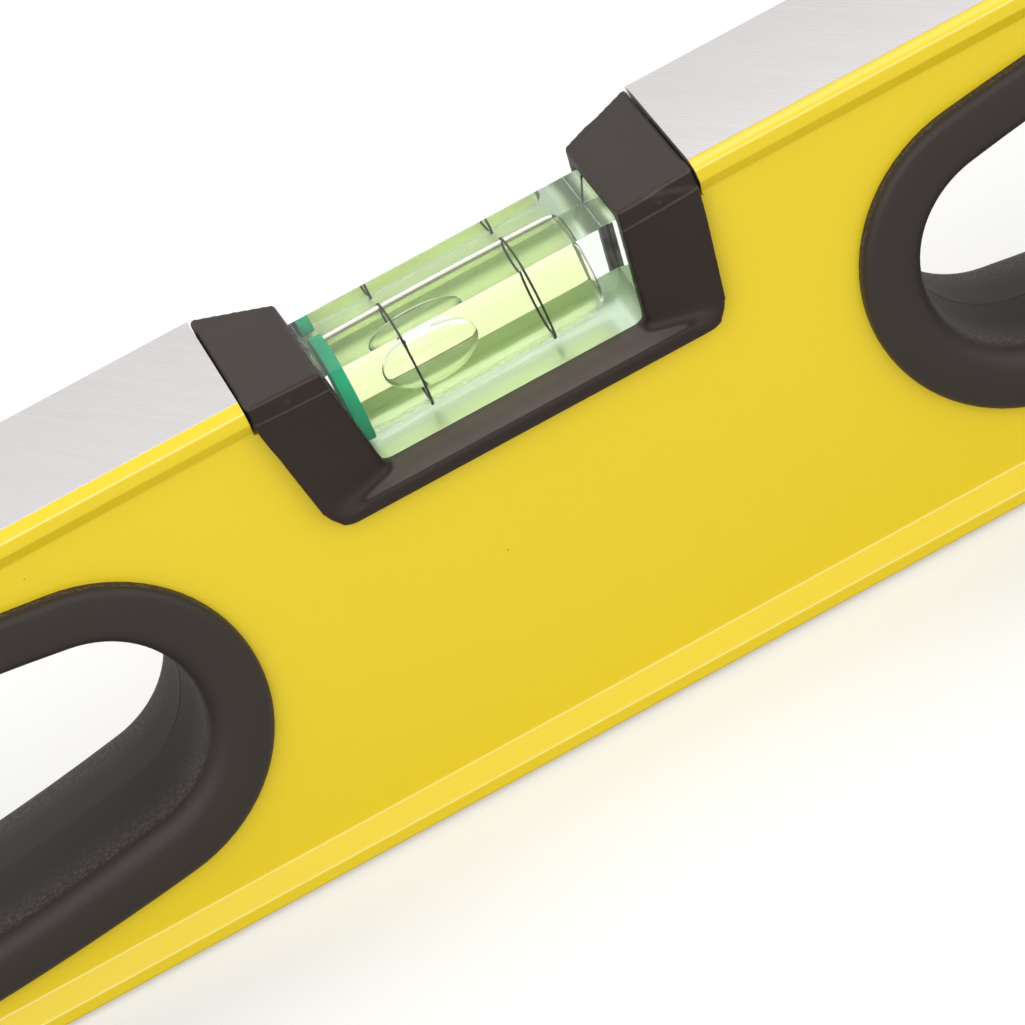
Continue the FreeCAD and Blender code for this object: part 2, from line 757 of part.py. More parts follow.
def make_vial(prefix, taper, angle, height):
    """All the pieces of one vial, built along X on the bore's axis."""
    pieces = [make_vial_block(prefix + "_vial_block", taper)]
    pieces.append(make_plug(prefix + "_vial_plug"))
    pieces.append(make_ring(prefix + "_ring_a", -1))
    pieces.append(make_ring(prefix + "_ring_b", 1))
    if angle:
        void = make_end_bubble(prefix + "_void", angle, height, "liquid_gap")
        bubble = make_end_bubble(prefix + "_bubble", angle, height, "0")
    else:
        void = make_level_bubble(prefix + "_void", "liquid_gap")
        bubble = make_level_bubble(prefix + "_bubble", "0")
        bind(void, "Placement.Base.x", "bubble_place")
    pieces.append(make_liquid(prefix + "_liquid", void))
    pieces.append(new_part(bubble))
    return pieces


def make_end_holder_half(name):
    """Half of a round end holder: a flange, half a core, a bevelled window and the vial's seat."""
    body = new_body(name)
    core = new_sketch(body, "XZ_Plane", name + "_core")
    draw_circle(core, "0", "0", "end_holder_radius")
    pad(body, core, PANEL)
    rim = new_sketch(body, "XZ_Plane", name + "_flange", PANEL)
    draw_circle(rim, "0", "0", "end_holder_radius + end_flange_width")
    flange = pad(body, rim, "rail_proud")
    face = -value(FRONT)

    def front_rim(middle, way, edge):
        return near(middle.y, face)

    dress(body, "Fillet", flange, "Radius", "edge_round", front_rim)
    window = new_sketch(body, "XZ_Plane", name + "_window")
    wide = "end_window_half_length"
    tall = "end_window_half_height"
    draw_block(window, wide, f"-{tall}", wide, tall)
    cut = pocket(body, window, "beam_depth", reverse=True)
    reach = value(f"{wide} + 1")

    def window_rim(middle, way, edge):
        return near(middle.y, face) and abs(middle.x) < reach and abs(middle.z) < reach / 2

    dress(body, "Chamfer", cut, "Size", "end_window_bevel", window_rim)
    seat = new_sketch(body, "XZ_Plane", name + "_seat")
    wide = "(vial_half_length + vial_fit)"
    tall = "(vial_top + vial_fit)"
    deep = "(vial_bottom + vial_fit)"
    draw_block(seat, wide, f"-{deep}", wide, tall)
    pocket(body, seat, "vial_depth / 2 + vial_fit", reverse=True)
    return new_part(body)


def place_on_end(thing, side, turn, back=False):
    """Move a piece that was built on a vial's own axis to an end window, and turn it there."""
    rotation = FreeCAD.Rotation(FreeCAD.Vector(0, 1, 0), -turn)
    if back:
        rotation = rotation.multiply(FreeCAD.Rotation(FreeCAD.Vector(0, 0, 1), 180))
    thing.Placement.Rotation = rotation
    bind(thing, "Placement.Base.x", f"{side} * {END_VIAL}")
    bind(thing, "Placement.Base.z", MID)


def make_end_cap(name, turn):
    """A moulded cap: an outer plate just inside the beam's outline and a hollow plug."""
    body = new_body(name)
    plate = new_sketch(body, "YZ_Plane", name + "_plate", f"{BEAM_LENGTH} / 2")
    wide = f"({FRONT} - cap_inset)"
    top = "(beam_height - cap_inset)"
    draw_block(plate, wide, "cap_inset", wide, top)
    solid = pad(body, plate, "cap_plate")
    outside = value("level_length / 2")

    def upright_corner(middle, way, edge):
        return abs(way.x) > 1

    def outer_edge(middle, way, edge):
        return near(middle.x, outside)

    solid = dress(body, "Fillet", solid, "Radius", "cap_corner", upright_corner)
    dress(body, "Fillet", solid, "Radius", "cap_edge", outer_edge)
    plug = new_sketch(body, "YZ_Plane", name + "_plug", f"{BEAM_LENGTH} / 2")
    for thick in ("cap_fit", "(cap_fit + cap_wall)"):
        half = f"({CAVITY_HALF} - {thick})"
        low = f"(sole_wall + {thick})"
        high = f"(beam_height - sole_wall - {thick})"
        draw_block(plug, half, low, half, high)
    walls = pad(body, plug, "cap_plug", reverse=True)
    side = value(f"{CAVITY_HALF} - cap_fit")

    def plug_corner(middle, way, edge):
        return abs(way.x) > 5 and near(abs(middle.y), side)

    dress(body, "Fillet", walls, "Radius", "cavity_round", plug_corner)
    if turn:
        body.Placement.Rotation = FreeCAD.Rotation(FreeCAD.Vector(0, 0, 1), 180)
    return new_part(body)


def make_magnet(name, place):
    """A disc magnet set a little inside the bottom face."""
    body = new_body(name)
    shape = new_sketch(body, "XY_Plane", name + "_face", "magnet_recess")
    draw_circle(shape, "0", "0", "magnet_radius")
    disc = pad(body, shape, "sole_wall - magnet_recess")

    def rims(middle, way, edge):
        return True

    dress(body, "Chamfer", disc, "Size", "edge_round / 2", rims)
    bind(body, "Placement.Base.x", place)
    return new_part(body)


make_beam()
for side, word in ((-1, "left"), (1, "right")):
    make_grip_half(f"{word}_grip_front", side, False)
    make_grip_half(f"{word}_grip_back", side, True)
make_centre_holder()
for piece in make_vial("centre", "throat_taper", None, None):
    if piece.Label == "centre_bubble":
        bind(piece, "Placement.Base.x", "bubble_place")
    bind(piece, "Placement.Base.z", VIAL_AXIS)

for word, side, turn, angle, height in (
    ("plumb", -1, 90, "90", "end_bubble_height"),
    ("tilted", 1, value("end_vial_angle"), "end_vial_angle", "tilted_bubble_height"),
):
    for piece in make_vial(word, "0", angle, height):
        place_on_end(piece, side, turn)
    place_on_end(make_end_holder_half(word + "_holder_front"), side, turn)
    place_on_end(make_end_holder_half(word + "_holder_back"), side, turn, back=True)

make_end_cap("left_end_cap", True)
make_end_cap("right_end_cap", False)
for number, place in enumerate(MAGNET_PLACES, start=1):
    make_magnet(f"magnet_{number}", place)

doc.recompute()
for thing in doc.Objects:
    if "Invalid" in thing.State or "Error" in thing.State:
        raise RuntimeError(f"{thing.Name} failed: {thing.State}")
os.makedirs("parts", exist_ok=True)
for thing in parts:
    if thing.Shape.isNull() or not thing.Shape.isValid():
        raise RuntimeError(f"{thing.Label} has no valid shape")
    thing.Shape.exportStep(f"parts/{thing.Label}.step")
    print(thing.Label, round(thing.Shape.Volume, 1), len(thing.Shape.Solids))
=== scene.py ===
"""The looks of a box-beam spirit level, laid out as an add-on round the fixed model.

Lengths are in metres. X runs along the level, Y to its back and Z up.
"""

import json
import math
from contextlib import contextmanager

import bmesh
import bpy
from bpy.props import FloatProperty, FloatVectorProperty, IntProperty, PointerProperty
from mathutils import Matrix, Vector

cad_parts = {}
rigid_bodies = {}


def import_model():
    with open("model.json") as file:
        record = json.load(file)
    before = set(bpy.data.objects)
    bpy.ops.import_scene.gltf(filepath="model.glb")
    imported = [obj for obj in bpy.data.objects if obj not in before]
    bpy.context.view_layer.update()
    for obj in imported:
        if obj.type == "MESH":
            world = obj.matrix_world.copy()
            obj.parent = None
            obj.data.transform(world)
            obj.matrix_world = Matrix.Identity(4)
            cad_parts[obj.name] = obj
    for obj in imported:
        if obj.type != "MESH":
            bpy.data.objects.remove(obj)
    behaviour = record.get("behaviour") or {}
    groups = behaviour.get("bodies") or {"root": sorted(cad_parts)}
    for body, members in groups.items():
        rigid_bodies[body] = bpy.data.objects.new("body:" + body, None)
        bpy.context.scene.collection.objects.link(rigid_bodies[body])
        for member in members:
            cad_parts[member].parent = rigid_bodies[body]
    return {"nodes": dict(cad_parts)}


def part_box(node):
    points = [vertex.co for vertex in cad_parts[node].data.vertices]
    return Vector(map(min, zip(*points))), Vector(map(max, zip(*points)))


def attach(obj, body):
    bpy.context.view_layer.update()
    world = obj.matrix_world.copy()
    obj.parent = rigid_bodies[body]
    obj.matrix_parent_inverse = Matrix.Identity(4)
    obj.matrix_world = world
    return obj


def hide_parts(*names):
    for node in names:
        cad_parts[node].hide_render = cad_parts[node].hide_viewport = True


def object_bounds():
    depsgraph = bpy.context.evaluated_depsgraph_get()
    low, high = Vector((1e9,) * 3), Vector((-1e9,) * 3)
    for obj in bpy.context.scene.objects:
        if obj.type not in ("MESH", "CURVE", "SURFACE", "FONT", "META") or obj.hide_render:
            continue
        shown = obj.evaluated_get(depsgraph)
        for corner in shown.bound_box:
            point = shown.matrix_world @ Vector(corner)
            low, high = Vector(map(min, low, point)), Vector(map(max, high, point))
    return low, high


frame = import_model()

bl_info = {
    "name": "Spirit level",
    "version": (1, 0, 0),
    "blender": (4, 5, 0),
    "location": "3D View > Sidebar > Level",
    "description": "Builds the finishes, grips, mouldings and vials of a spirit level",
    "category": "Add Mesh",
}

MM = 0.001
CAD_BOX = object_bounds()
LEVEL_HEIGHT = CAD_BOX[1].z
MIDDLE_HEIGHT = LEVEL_HEIGHT / 2
WELD = 0.002 * MM  # points closer than this are one

# the beam: the rails' edges, measured from its top or bottom, and how deep its faces lie
RAIL_EDGES = (0.9 * MM, 2.45 * MM, 4.55 * MM)
RAIL_DEPTH = 10.4 * MM
MILLED_DEPTH = 0.03 * MM
NOTCH_REACH = 40 * MM

# the saddle: its wings fall towards the vial, with a set-back band along their outer faces
WING_REACH = 27.5 * MM
WING_TOP = 59.4 * MM
WING_FALL = math.tan(math.radians(11.5))
WING_FOOT = 51.9 * MM
WING_SIDE = 26.4 * MM
BAND_EDGES = (2.35 * MM, 0.25 * MM)
BAND_FOOT = 56.4 * MM
BAND_DEPTH = 9.2 * MM
SHELF_TOP = 50.0 * MM
VALLEY_FOOT = Vector((24.98, 12.47, 42.11)) * MM
VALLEY_HEAD = Vector((16.3, 9.6, 42.7)) * MM

# the lamps: name, place, size and power
LAMPS = (
    ("key", (-0.55, -0.95, 0.85), 1.3, 9.4),
    ("fill", (0.85, -0.85, 0.6), 1.1, 4.8),
    ("overhead", (0.0, 0.45, 1.15), 0.6, 5.0),
    ("back", (0.45, 1.15, 0.5), 1.2, 4.0),
)


def length(name, default, description):
    return FloatProperty(
        name=name, default=default, description=description, unit="LENGTH", precision=5
    )


def colour(name, default, description):
    return FloatVectorProperty(
        name=name, default=default, description=description, subtype="COLOR", size=3
    )


class GripSizes(bpy.types.PropertyGroup):
    """Sizes of the hand-hold linings."""

    end_radius: length("Hold end radius", 12.6 * MM, "Radius of the hand-hold's round ends")
    mid_height: length("Hold half height", 16.8 * MM, "Half height in its middle")
    flange: length("Flange width", 7.5 * MM, "Width of the proud rim at the round ends")
    proud: length("Rim height", 2.0 * MM, "How far the rim stands out of the panel")
    draft: length("Draft", 0.45 * MM, "How much the wall closes in towards mid depth")
    inner_round: length("Inner rounding", 3.0 * MM, "Rounding from the rim into the hold")
    outer_round: length("Outer rounding", 1.3 * MM, "Rounding of the rim's outer edge")
    crown: length("Rim crown", 0.12 * MM, "How far the rim's face swells")
    parting: length("Parting bevel", 0.22 * MM, "Bevel where the two halves meet")
    sleeve: length("Sleeve wall", 2.05 * MM, "Wall of the sleeve inside the beam")


class VialSizes(bpy.types.PropertyGroup):
    """Sizes of a vial, measured from the middle of its bore."""

    bore_radius: length("Bore radius", 5.08 * MM, "Radius in the middle of the bore")
    crown: length("Bore crown", 0.25 * MM, "How much the bore narrows to its ends")
    blind_end: length("Blind end", 14.0 * MM, "Where the bore ends on the right")
    ring_width: length("Ring width", 0.26 * MM, "Width of a graduation ring")
    blind_round: length("Blind rounding", 1.6 * MM, "Rounding of the blind end")
    ring_shift: length("Ring shift", -0.65 * MM, "Middle of the two rings along the bore")
    corner: length("Lower corners", 2.0 * MM, "Rounding of the block's lower corners")
    polish: length("Polished edge", 0.06 * MM, "Width of the block's polished edges")
    taper: FloatProperty(name="End taper", default=0.15, description="Slope of the ends")
    bubble_rim: length("Bubble rim", 0.45 * MM, "Rounding of a bubble's lower edge")
    film_rise: length("Film rise", 2.45 * MM, "How far the film climbs the block's back")


class EdgeSizes(bpy.types.PropertyGroup):
    """Roundings that the extrusion and the mouldings get."""

    rail: length("Rail edges", 0.2 * MM, "Rounding along the beam's rails")
    valley: length("Saddle valleys", 1.4 * MM, "Reach of the rounding in the saddle's valleys")
    spread: FloatProperty(name="Wing spread", default=1.008, description="Closes the notch's gap")
    skin: length("Saddle skin", 0.21 * MM, "Size of the faces that the saddle is skinned with")
    passes: IntProperty(name="Saddle smoothing", default=12, min=0, max=50)
    kept: FloatProperty(name="Saddle faces kept", default=0.5, min=0.1, max=1.0)
    insert: length("Insert edges", 0.15 * MM, "Rounding of the end inserts")
    cap: length("Cap edges", 0.2 * MM, "Rounding of the end caps")
    magnet: length("Magnet edges", 0.08 * MM, "Rounding of the magnets")


class FinishColours(bpy.types.PropertyGroup):
    """Base colours of the level's finishes."""

    coat: colour("Powder coat", (0.86, 0.645, 0.012), "Yellow powder coat")
    # painted highlight: the colour of the lighter lines along the lit rail edges
    painted_highlight: colour("Painted rail highlight", (0.98, 0.84, 0.36), "The coat lightened along lit rail edges as painted highlight")
    milled: colour("Milled metal", (0.59, 0.57, 0.565), "Bare milled aluminium")
    grip: colour("Soft grip", (0.026, 0.018, 0.015), "Soft black grip")
    # painted light: the colour of the painted sheen and highlights on the mouldings and grips
    moulding: colour("Moulding", (0.020, 0.011, 0.007), "Black moulded plastic")
    painted_light: colour("Moulding bloom", (0.125, 0.098, 0.088), "Painted sheen and highlight on the plastic and grips")
    plug: colour("Plug", (0.0, 0.50, 0.23), "Green plug")
    film: colour("Film", (0.60, 0.69, 0.57), "Bright film under a vial")
    ring: colour("Ring", (0.012, 0.016, 0.008), "Dark graduation ring")
    nickel: colour("Nickel", (0.72, 0.70, 0.67), "Plated magnet")
    floor: colour("Floor", (0.62, 0.62, 0.62), "Studio floor")


class StageSizes(bpy.types.PropertyGroup):
    """The camera and the lamps."""

    distance: length("Camera distance", 0.70819, "From the point that the camera looks at")
    aim_along: length("Aim along", -0.005486, "Where the camera looks, along the level")
    aim_height: length("Aim height", 0.024703, "Height of the point it looks at")
    azimuth: FloatProperty(name="Azimuth", default=math.radians(-4.42058), subtype="ANGLE")
    elevation: FloatProperty(name="Elevation", default=math.radians(30.6218), subtype="ANGLE")
    roll: FloatProperty(name="Roll", default=math.radians(26.19231), subtype="ANGLE")
    focal: FloatProperty(name="Focal length", default=220.0, unit="CAMERA")
    light: FloatProperty(name="Lamp strength", default=1.0, min=0.0)
    room: FloatProperty(name="Room strength", default=0.45, min=0.0)
    segments: IntProperty(name="Round segments", default=96, min=24, max=256)


# --- shader maths -----------------------------------------------------------------


class Field:
    """A value that changes over a surface; arithmetic on it adds Math nodes."""

    def __init__(self, finish, socket):
        self.finish = finish
        self.socket = socket

    def math(self, operation, *values):
        return self.finish.node("Math", {"operation": operation}, dict(enumerate(values)))

    def __add__(self, other):
        return self.math("ADD", self, other)

    def __radd__(self, other):
        return self.math("ADD", other, self)

    def __sub__(self, other):
        return self.math("SUBTRACT", self, other)

    def __rsub__(self, other):
        return self.math("SUBTRACT", other, self)

    def __mul__(self, other):
        return self.math("MULTIPLY", self, other)

    def __rmul__(self, other):
        return self.math("MULTIPLY", other, self)

    def __gt__(self, other):
        return self.math("GREATER_THAN", self, other)

    def __lt__(self, other):
        return self.math("LESS_THAN", self, other)

    def __abs__(self):
        return self.math("ABSOLUTE", self)

    def __or__(self, other):
        return self.math("MAXIMUM", self, other)

    def __and__(self, other):
        return self.math("MINIMUM", self, other)


class Finish:
    """One material and the nodes that make it."""

    def __init__(self, name):
        self.material = bpy.data.materials.new(name)
        self.material.use_nodes = True
        self.tree = self.material.node_tree
        self.tree.nodes.clear()
        self.place = self.node("TexCoord", out="Object")

    def node(self, kind, settings=None, inputs=None, out=0):
        """Add a node: its settings first, then values or links for its sockets."""
        made = self.tree.nodes.new("ShaderNode" + kind)
        for key, setting in (settings or {}).items():
            setattr(made, key, setting)
        for key, given in (inputs or {}).items():
            socket = made.inputs[key]
            if isinstance(given, Field):
                self.tree.links.new(given.socket, socket)
            elif socket.type == "RGBA" and len(given) == 3:
                socket.default_value = (*given, 1.0)
            else:
                socket.default_value = given
        return Field(self, made.outputs[out])

    def axes(self):
        """The three object coordinates, as values."""
        return [self.node("SeparateXYZ", inputs={0: self.place}, out=i) for i in range(3)]

    def noise(self, scale, detail=2.0, rough=0.5, place=None):
        sockets = {"Scale": scale, "Detail": detail, "Roughness": rough}
        sockets["Vector"] = self.place if place is None else place
        return self.node("TexNoise", inputs=sockets)

    def turned(self, angles, scale):
        """Object coordinates turned, then stretched."""
        turn = self.node("Mapping", inputs={"Vector": self.place, "Rotation": angles})
        return self.node("Mapping", inputs={"Vector": turn, "Scale": scale})

    def ramp(self, value, low, high):
        """0 below low, 1 above high and smooth between."""
        settings = {"interpolation_type": "SMOOTHSTEP"}
        return self.node("MapRange", settings, {0: value, 1: low, 2: high})

    def mix(self, factor, first, second):
        """A colour between two colours."""
        return self.node("Mix", {"data_type": "RGBA"}, {0: factor, 6: first, 7: second}, 2)

    def tint(self, rgb, amount):
        """A colour made lighter or darker by a value round 1."""
        grey = self.node("CombineColor", inputs={0: amount, 1: amount, 2: amount})
        settings = {"data_type": "RGBA", "blend_type": "MULTIPLY"}
        return self.node("Mix", settings, {0: 1.0, 6: rgb, 7: grey}, 2)

    def bump(self, height, distance, strength):
        sockets = {"Height": height, "Distance": distance, "Strength": strength}
        return self.node("Bump", inputs=sockets)

    def surface(self, **sockets):
        """Close the material with a Principled shader; underscores stand for spaces."""
        named = {key.replace("_", " "): given for key, given in sockets.items()}
        return self.finish_with(self.node("BsdfPrincipled", inputs=named))

    def finish_with(self, shader, volume=None):
        output = self.tree.nodes.new("ShaderNodeOutputMaterial")
        self.tree.links.new(shader.socket, output.inputs["Surface"])
        if volume is not None:
            self.tree.links.new(volume.socket, output.inputs["Volume"])
        return self.material


# --- finishes ---------------------------------------------------------------------


def coated_beam(colours):
    """Yellow powder coat, bare where the measuring faces are milled and the notch is cut, with
    painted highlight lines along the lit rail edges.
    """
    finish = Finish("coated_beam")
    along, deep, high = finish.axes()
    facing = finish.node("NewGeometry", out="True Normal")
    facing_x = abs(finish.node("SeparateXYZ", inputs={0: facing}, out=0))
    milled = abs(high - MIDDLE_HEIGHT) > MIDDLE_HEIGHT - MILLED_DEPTH
    cut = (facing_x > 0.6) & (abs(along) < NOTCH_REACH)
    bare = milled | cut

    cloud = finish.noise(28.0, 3.0)
    peel = finish.noise(850.0, 2.0, 0.45)
    dust = finish.node("TexVoronoi", inputs={"Vector": finish.place, "Scale": 260.0})
    chance = finish.noise(75.0, 1.0)
    speck = (dust < 0.035) & (chance > 0.58)
    shade = 0.985 + cloud * 0.03 - speck * 0.4
    coat = finish.tint(tuple(colours.coat), shade)

    swirl = finish.noise(9.0, 1.0)
    # painted highlight: lighter lines along the rail edges that catch the light, the top rail's
    # upper edge and both edges of the lower rail's slope
    up_side = high > MIDDLE_HEIGHT
    edge_a = abs(high - (LEVEL_HEIGHT - RAIL_EDGES[0]))
    edge_b = abs(high - RAIL_EDGES[1]) & abs(high - RAIL_EDGES[2])
    near_edge = up_side * edge_a + (1.0 - up_side) * edge_b
    on_rail = abs(deep) > RAIL_DEPTH
    painted_highlight = finish.ramp(near_edge, 0.13 * MM, 0.05 * MM) * on_rail * (0.35 + cloud * 0.5)
    coat = finish.mix(painted_highlight, coat, tuple(colours.painted_highlight))

    sweep = (0.0, 0.0, math.radians(57.0))
    fine = finish.noise(1.0, 3.0, 0.7, finish.turned(sweep, (60.0, 4200.0, 60.0)))
    groove_sockets = {
        "Vector": finish.turned(sweep, (1.0, 1.0, 1.0)),
        "Scale": 1180.0,
        "Distortion": 5.0,
        "Detail": 2.0,
        "Detail Scale": 0.04,
    }
    grooves = finish.node("TexWave", {"bands_direction": "Y"}, groove_sockets, 1)
    marks = fine * 0.5 + grooves * 0.5
    metal = finish.tint(tuple(colours.milled), 0.78 + marks * 0.38 + swirl * 0.05)

    base = finish.mix(bare, coat, metal)
    rough = (1.0 - bare) * (0.30 + cloud * 0.06) + bare * (0.30 + marks * 0.16)
    height = (1.0 - bare) * peel * 0.35 + bare * marks
    bumps = finish.bump(height, 0.02 * MM, 0.5)
    return finish.surface(
        Base_Color=base,
        Roughness=rough,
        Metallic=bare,
        Normal=bumps,
        Specular_IOR_Level=0.5,
    )


def soft_grip(colours):
    """Matt soft black with a fine moulded grain; the hold's walls get painted shade, and a
    speckled painted sheen towards the hold's openings.
    """
    finish = Finish("soft_grip")
    grain = finish.noise(3600.0, 3.0, 0.6)
    cloud = finish.noise(60.0, 3.0)
    scuff = finish.ramp(finish.noise(420.0, 4.0, 0.7), 0.62, 0.78)
    facing = finish.node("NewGeometry", out="Normal")
    wall = finish.ramp(abs(finish.node("SeparateXYZ", inputs={0: facing}, out=1)), 0.45, 0.2)
    speck = finish.ramp(finish.noise(2400.0, 3.0, 0.7), 0.45, 0.62)
    # painted sheen: a speckled lighter colour on the hold's walls, growing towards its openings
    painted_sheen_mask = wall * finish.ramp(abs(finish.axes()[1]), 4.0 * MM, 12.0 * MM) * (0.2 + speck * 0.5)
    # painted shade: the hold's walls are made darker
    base = finish.tint(tuple(colours.grip), 0.82 + cloud * 0.30 + scuff * 0.35 - wall * 0.4)
    base = finish.mix(painted_sheen_mask, base, tuple(colours.painted_light))
    rough = 0.42 + grain * 0.14 + cloud * 0.05 + wall * 0.14
    bumps = finish.bump(grain, 0.03 * MM, 0.55)
    return finish.surface(
        Base_Color=base, Roughness=rough, Normal=bumps, Specular_IOR_Level=0.36
    )


def moulding(colours):
    """Black moulded plastic with a spark-eroded texture, with painted sheen where a low ledge
    faces up and painted highlight lines along the wings' bands.
    """
    finish = Finish("moulding")
    grain = finish.noise(5200.0, 3.0, 0.65)
    cloud = finish.noise(80.0, 3.0)
    dust = finish.ramp(finish.noise(900.0, 3.0, 0.7), 0.66, 0.76)
    facing = finish.node("NewGeometry", out="Normal")
    along, deep, high = finish.axes()
    up = finish.ramp(finish.node("SeparateXYZ", inputs={0: facing}, out=2), 0.84, 0.95)
    # painted sheen: faces that look up, below the shelf top, are made lighter
    painted_sheen_mask = up * (high < SHELF_TOP) * 0.8

    # painted highlight lines above and below the set-back band on each wing
    drop = WING_TOP - (WING_REACH - abs(along)) * WING_FALL - high
    step = abs(drop - BAND_EDGES[0]) & abs(drop - BAND_EDGES[1])
    highlight_line = finish.ramp(step, 0.20 * MM, 0.06 * MM) * (abs(deep) > BAND_DEPTH)
    highlight_line = highlight_line * (abs(along) < WING_REACH + 0.5 * MM) * (0.15 + cloud * 0.5)
    # the lighter colour of the painted sheen and the painted highlight lines
    painted_light_colour = finish.tint(tuple(colours.painted_light), 0.8 + cloud * 0.2 + dust * 0.5)
    plain = finish.tint(tuple(colours.moulding), 0.85 + cloud * 0.25 + dust * 0.5)
    base = finish.mix(painted_sheen_mask | highlight_line, plain, painted_light_colour)
    rough = 0.40 + grain * 0.12 + cloud * 0.06
    bumps = finish.bump(grain, 0.02 * MM, 0.5)
    return finish.surface(
        Base_Color=base, Roughness=rough, Normal=bumps, Specular_IOR_Level=0.28
    )


def clear_block():
    """Polished acrylic, faintly green in its depth, with a slight moulded ripple."""
    finish = Finish("clear_block")
    ripple = finish.noise(140.0, 1.0)
    haze = finish.noise(45.0, 2.0)
    shader = finish.node(
        "BsdfPrincipled",
        inputs={
            "Base Color": finish.mix(haze, (0.99, 1.0, 0.985), (0.975, 0.99, 0.97)),
            "Roughness": 0.0,
            "IOR": 1.49,
            "Transmission Weight": 1.0,
            "Normal": finish.bump(ripple, 0.01 * MM, 0.12),
        },
    )
    tint = finish.node(
        "VolumeAbsorption", inputs={"Color": (0.70, 0.95, 0.66), "Density": 9.0}
    )
    return finish.finish_with(shader, tint)


def bright_film(colours):
    """Satin mint film with a faint orange-peel surface."""
    finish = Finish("bright_film")
    cloud = finish.noise(300.0, 2.0)
    base = finish.tint(tuple(colours.film), 0.96 + cloud * 0.06)
    return finish.surface(Base_Color=base, Metallic=1.0, Roughness=0.42 + cloud * 0.08)


def vial_liquid():
    """Yellow-green liquid; its index is given against the acrylic that it lies in."""
    finish = Finish("vial_liquid")
    drift = finish.noise(60.0, 2.0)
    tone = finish.mix(drift, (0.99, 1.0, 0.93), (0.97, 1.0, 0.90))
    shader = finish.node(
        "BsdfPrincipled",
        inputs={
            "Base Color": tone,
            "Roughness": 0.0,
            "IOR": 1.36 / 1.49,
            "Transmission Weight": 1.0,
        },
    )
    dye = finish.node(
        "VolumeAbsorption", inputs={"Color": (0.93, 0.985, 0.04), "Density": 50.0}
    )
    return finish.finish_with(shader, dye)


def air_bubble():
    """Air; its index is given against the liquid that it lies in."""
    finish = Finish("air_bubble")
    drift = finish.noise(90.0, 1.0)
    tone = finish.mix(drift, (1.0, 1.0, 1.0), (0.985, 1.0, 0.97))
    return finish.surface(
        Base_Color=tone, Roughness=0.0, IOR=1.0 / 1.36, Transmission_Weight=1.0
    )


def plain_gloss(name, rgb, roughness, scale, specular=0.5):
    """A small glossy plastic piece with slight clouding."""
    finish = Finish(name)
    cloud = finish.noise(scale, 3.0)
    base = finish.tint(tuple(rgb), 0.85 + cloud * 0.3)
    rough = roughness + cloud * 0.08
    return finish.surface(
        Base_Color=base, Roughness=rough, Specular_IOR_Level=specular
    )


def nickel_plate(colours):
    """Plated magnet face with faint turning marks and a little wear."""
    finish = Finish("nickel_plate")
    wear = finish.noise(900.0, 4.0, 0.65)
    cloud = finish.noise(160.0, 2.0)
    base = finish.tint(tuple(colours.nickel), 0.9 + cloud * 0.14)
    rough = 0.20 + wear * 0.22
    return finish.surface(
        Base_Color=base,
        Metallic=1.0,
        Roughness=rough,
        Normal=finish.bump(wear, 0.01 * MM, 0.4),
    )


def studio_floor(colours):
    """Pale floor, white to the camera and to glass, that keeps the level's shadow."""
    finish = Finish("studio_floor")
    cloud = finish.noise(2.0, 2.0)
    base = finish.tint(tuple(colours.floor), 0.99 + cloud * 0.02)
    paint = finish.node("BsdfDiffuse", inputs={"Color": base})
    seen = finish.node("LightPath", out="Is Camera Ray")
    glossed = finish.node("LightPath", out="Is Glossy Ray")
    through = finish.node("LightPath", out="Is Transmission Ray")
    glow = finish.node("Emission", inputs={"Color": (1.0, 1.0, 1.0), "Strength": 0.40})
    lit = finish.node("AddShader", inputs={0: paint, 1: glow})
    looked_at = seen | glossed * 0.5 | through
    return finish.finish_with(finish.node("MixShader", inputs={0: looked_at, 1: paint, 2: lit}))


# --- modelling helpers ------------------------------------------------------------


def clear_selection():
    bpy.ops.object.select_all(action="DESELECT")


@contextmanager
def editing(piece):
    """Edit mode on one piece, with its mesh to select in."""
    clear_selection()
    bpy.context.view_layer.objects.active = piece
    piece.select_set(True)
    bpy.ops.object.mode_set(mode="EDIT")
    bpy.ops.mesh.select_mode(type="VERT")
    yield
    bpy.ops.object.mode_set(mode="OBJECT")


def pick(kind, test):
    """Select the faces, edges or verts of the piece in edit mode that pass a test."""
    bpy.ops.mesh.select_all(action="DESELECT")
    bpy.ops.mesh.select_mode(type={"verts": "VERT", "edges": "EDGE", "faces": "FACE"}[kind])
    data = bpy.context.edit_object.data
    mesh = bmesh.from_edit_mesh(data)
    found = 0
    for element in getattr(mesh, kind):
        chosen = test(element)
        found += chosen
        if chosen:
            element.select_set(True)
    mesh.select_flush_mode()
    bmesh.update_edit_mesh(data)
    if not found:
        raise RuntimeError(f"nothing to select on {bpy.context.edit_object.name}")


def middle(element):
    """The middle of an edge or face."""
    total = Vector()
    for vert in element.verts:
        total += vert.co
    return total / len(element.verts)


def new_primitive(kind, name, **settings):
    """Add a primitive with everything else deselected, its place put into its mesh."""
    clear_selection()
    getattr(bpy.ops.mesh, f"primitive_{kind}_add")(**settings)
    piece = bpy.context.object
    piece.name = name
    piece.data.name = name
    bpy.ops.object.transform_apply(location=True, rotation=True, scale=True)
    return piece


def copy_node(node, name):
    """A welded copy of one fixed part, its flat areas made whole again."""
    source = frame["nodes"][node]
    piece = bpy.data.objects.new(name, source.data.copy())
    piece.data.name = name
    piece.data.materials.clear()
    bpy.context.scene.collection.objects.link(piece)
    with editing(piece):
        bpy.ops.mesh.select_all(action="SELECT")
        bpy.ops.mesh.remove_doubles(threshold=WELD)
        bpy.ops.mesh.dissolve_limited(angle_limit=math.radians(0.4))
    return piece


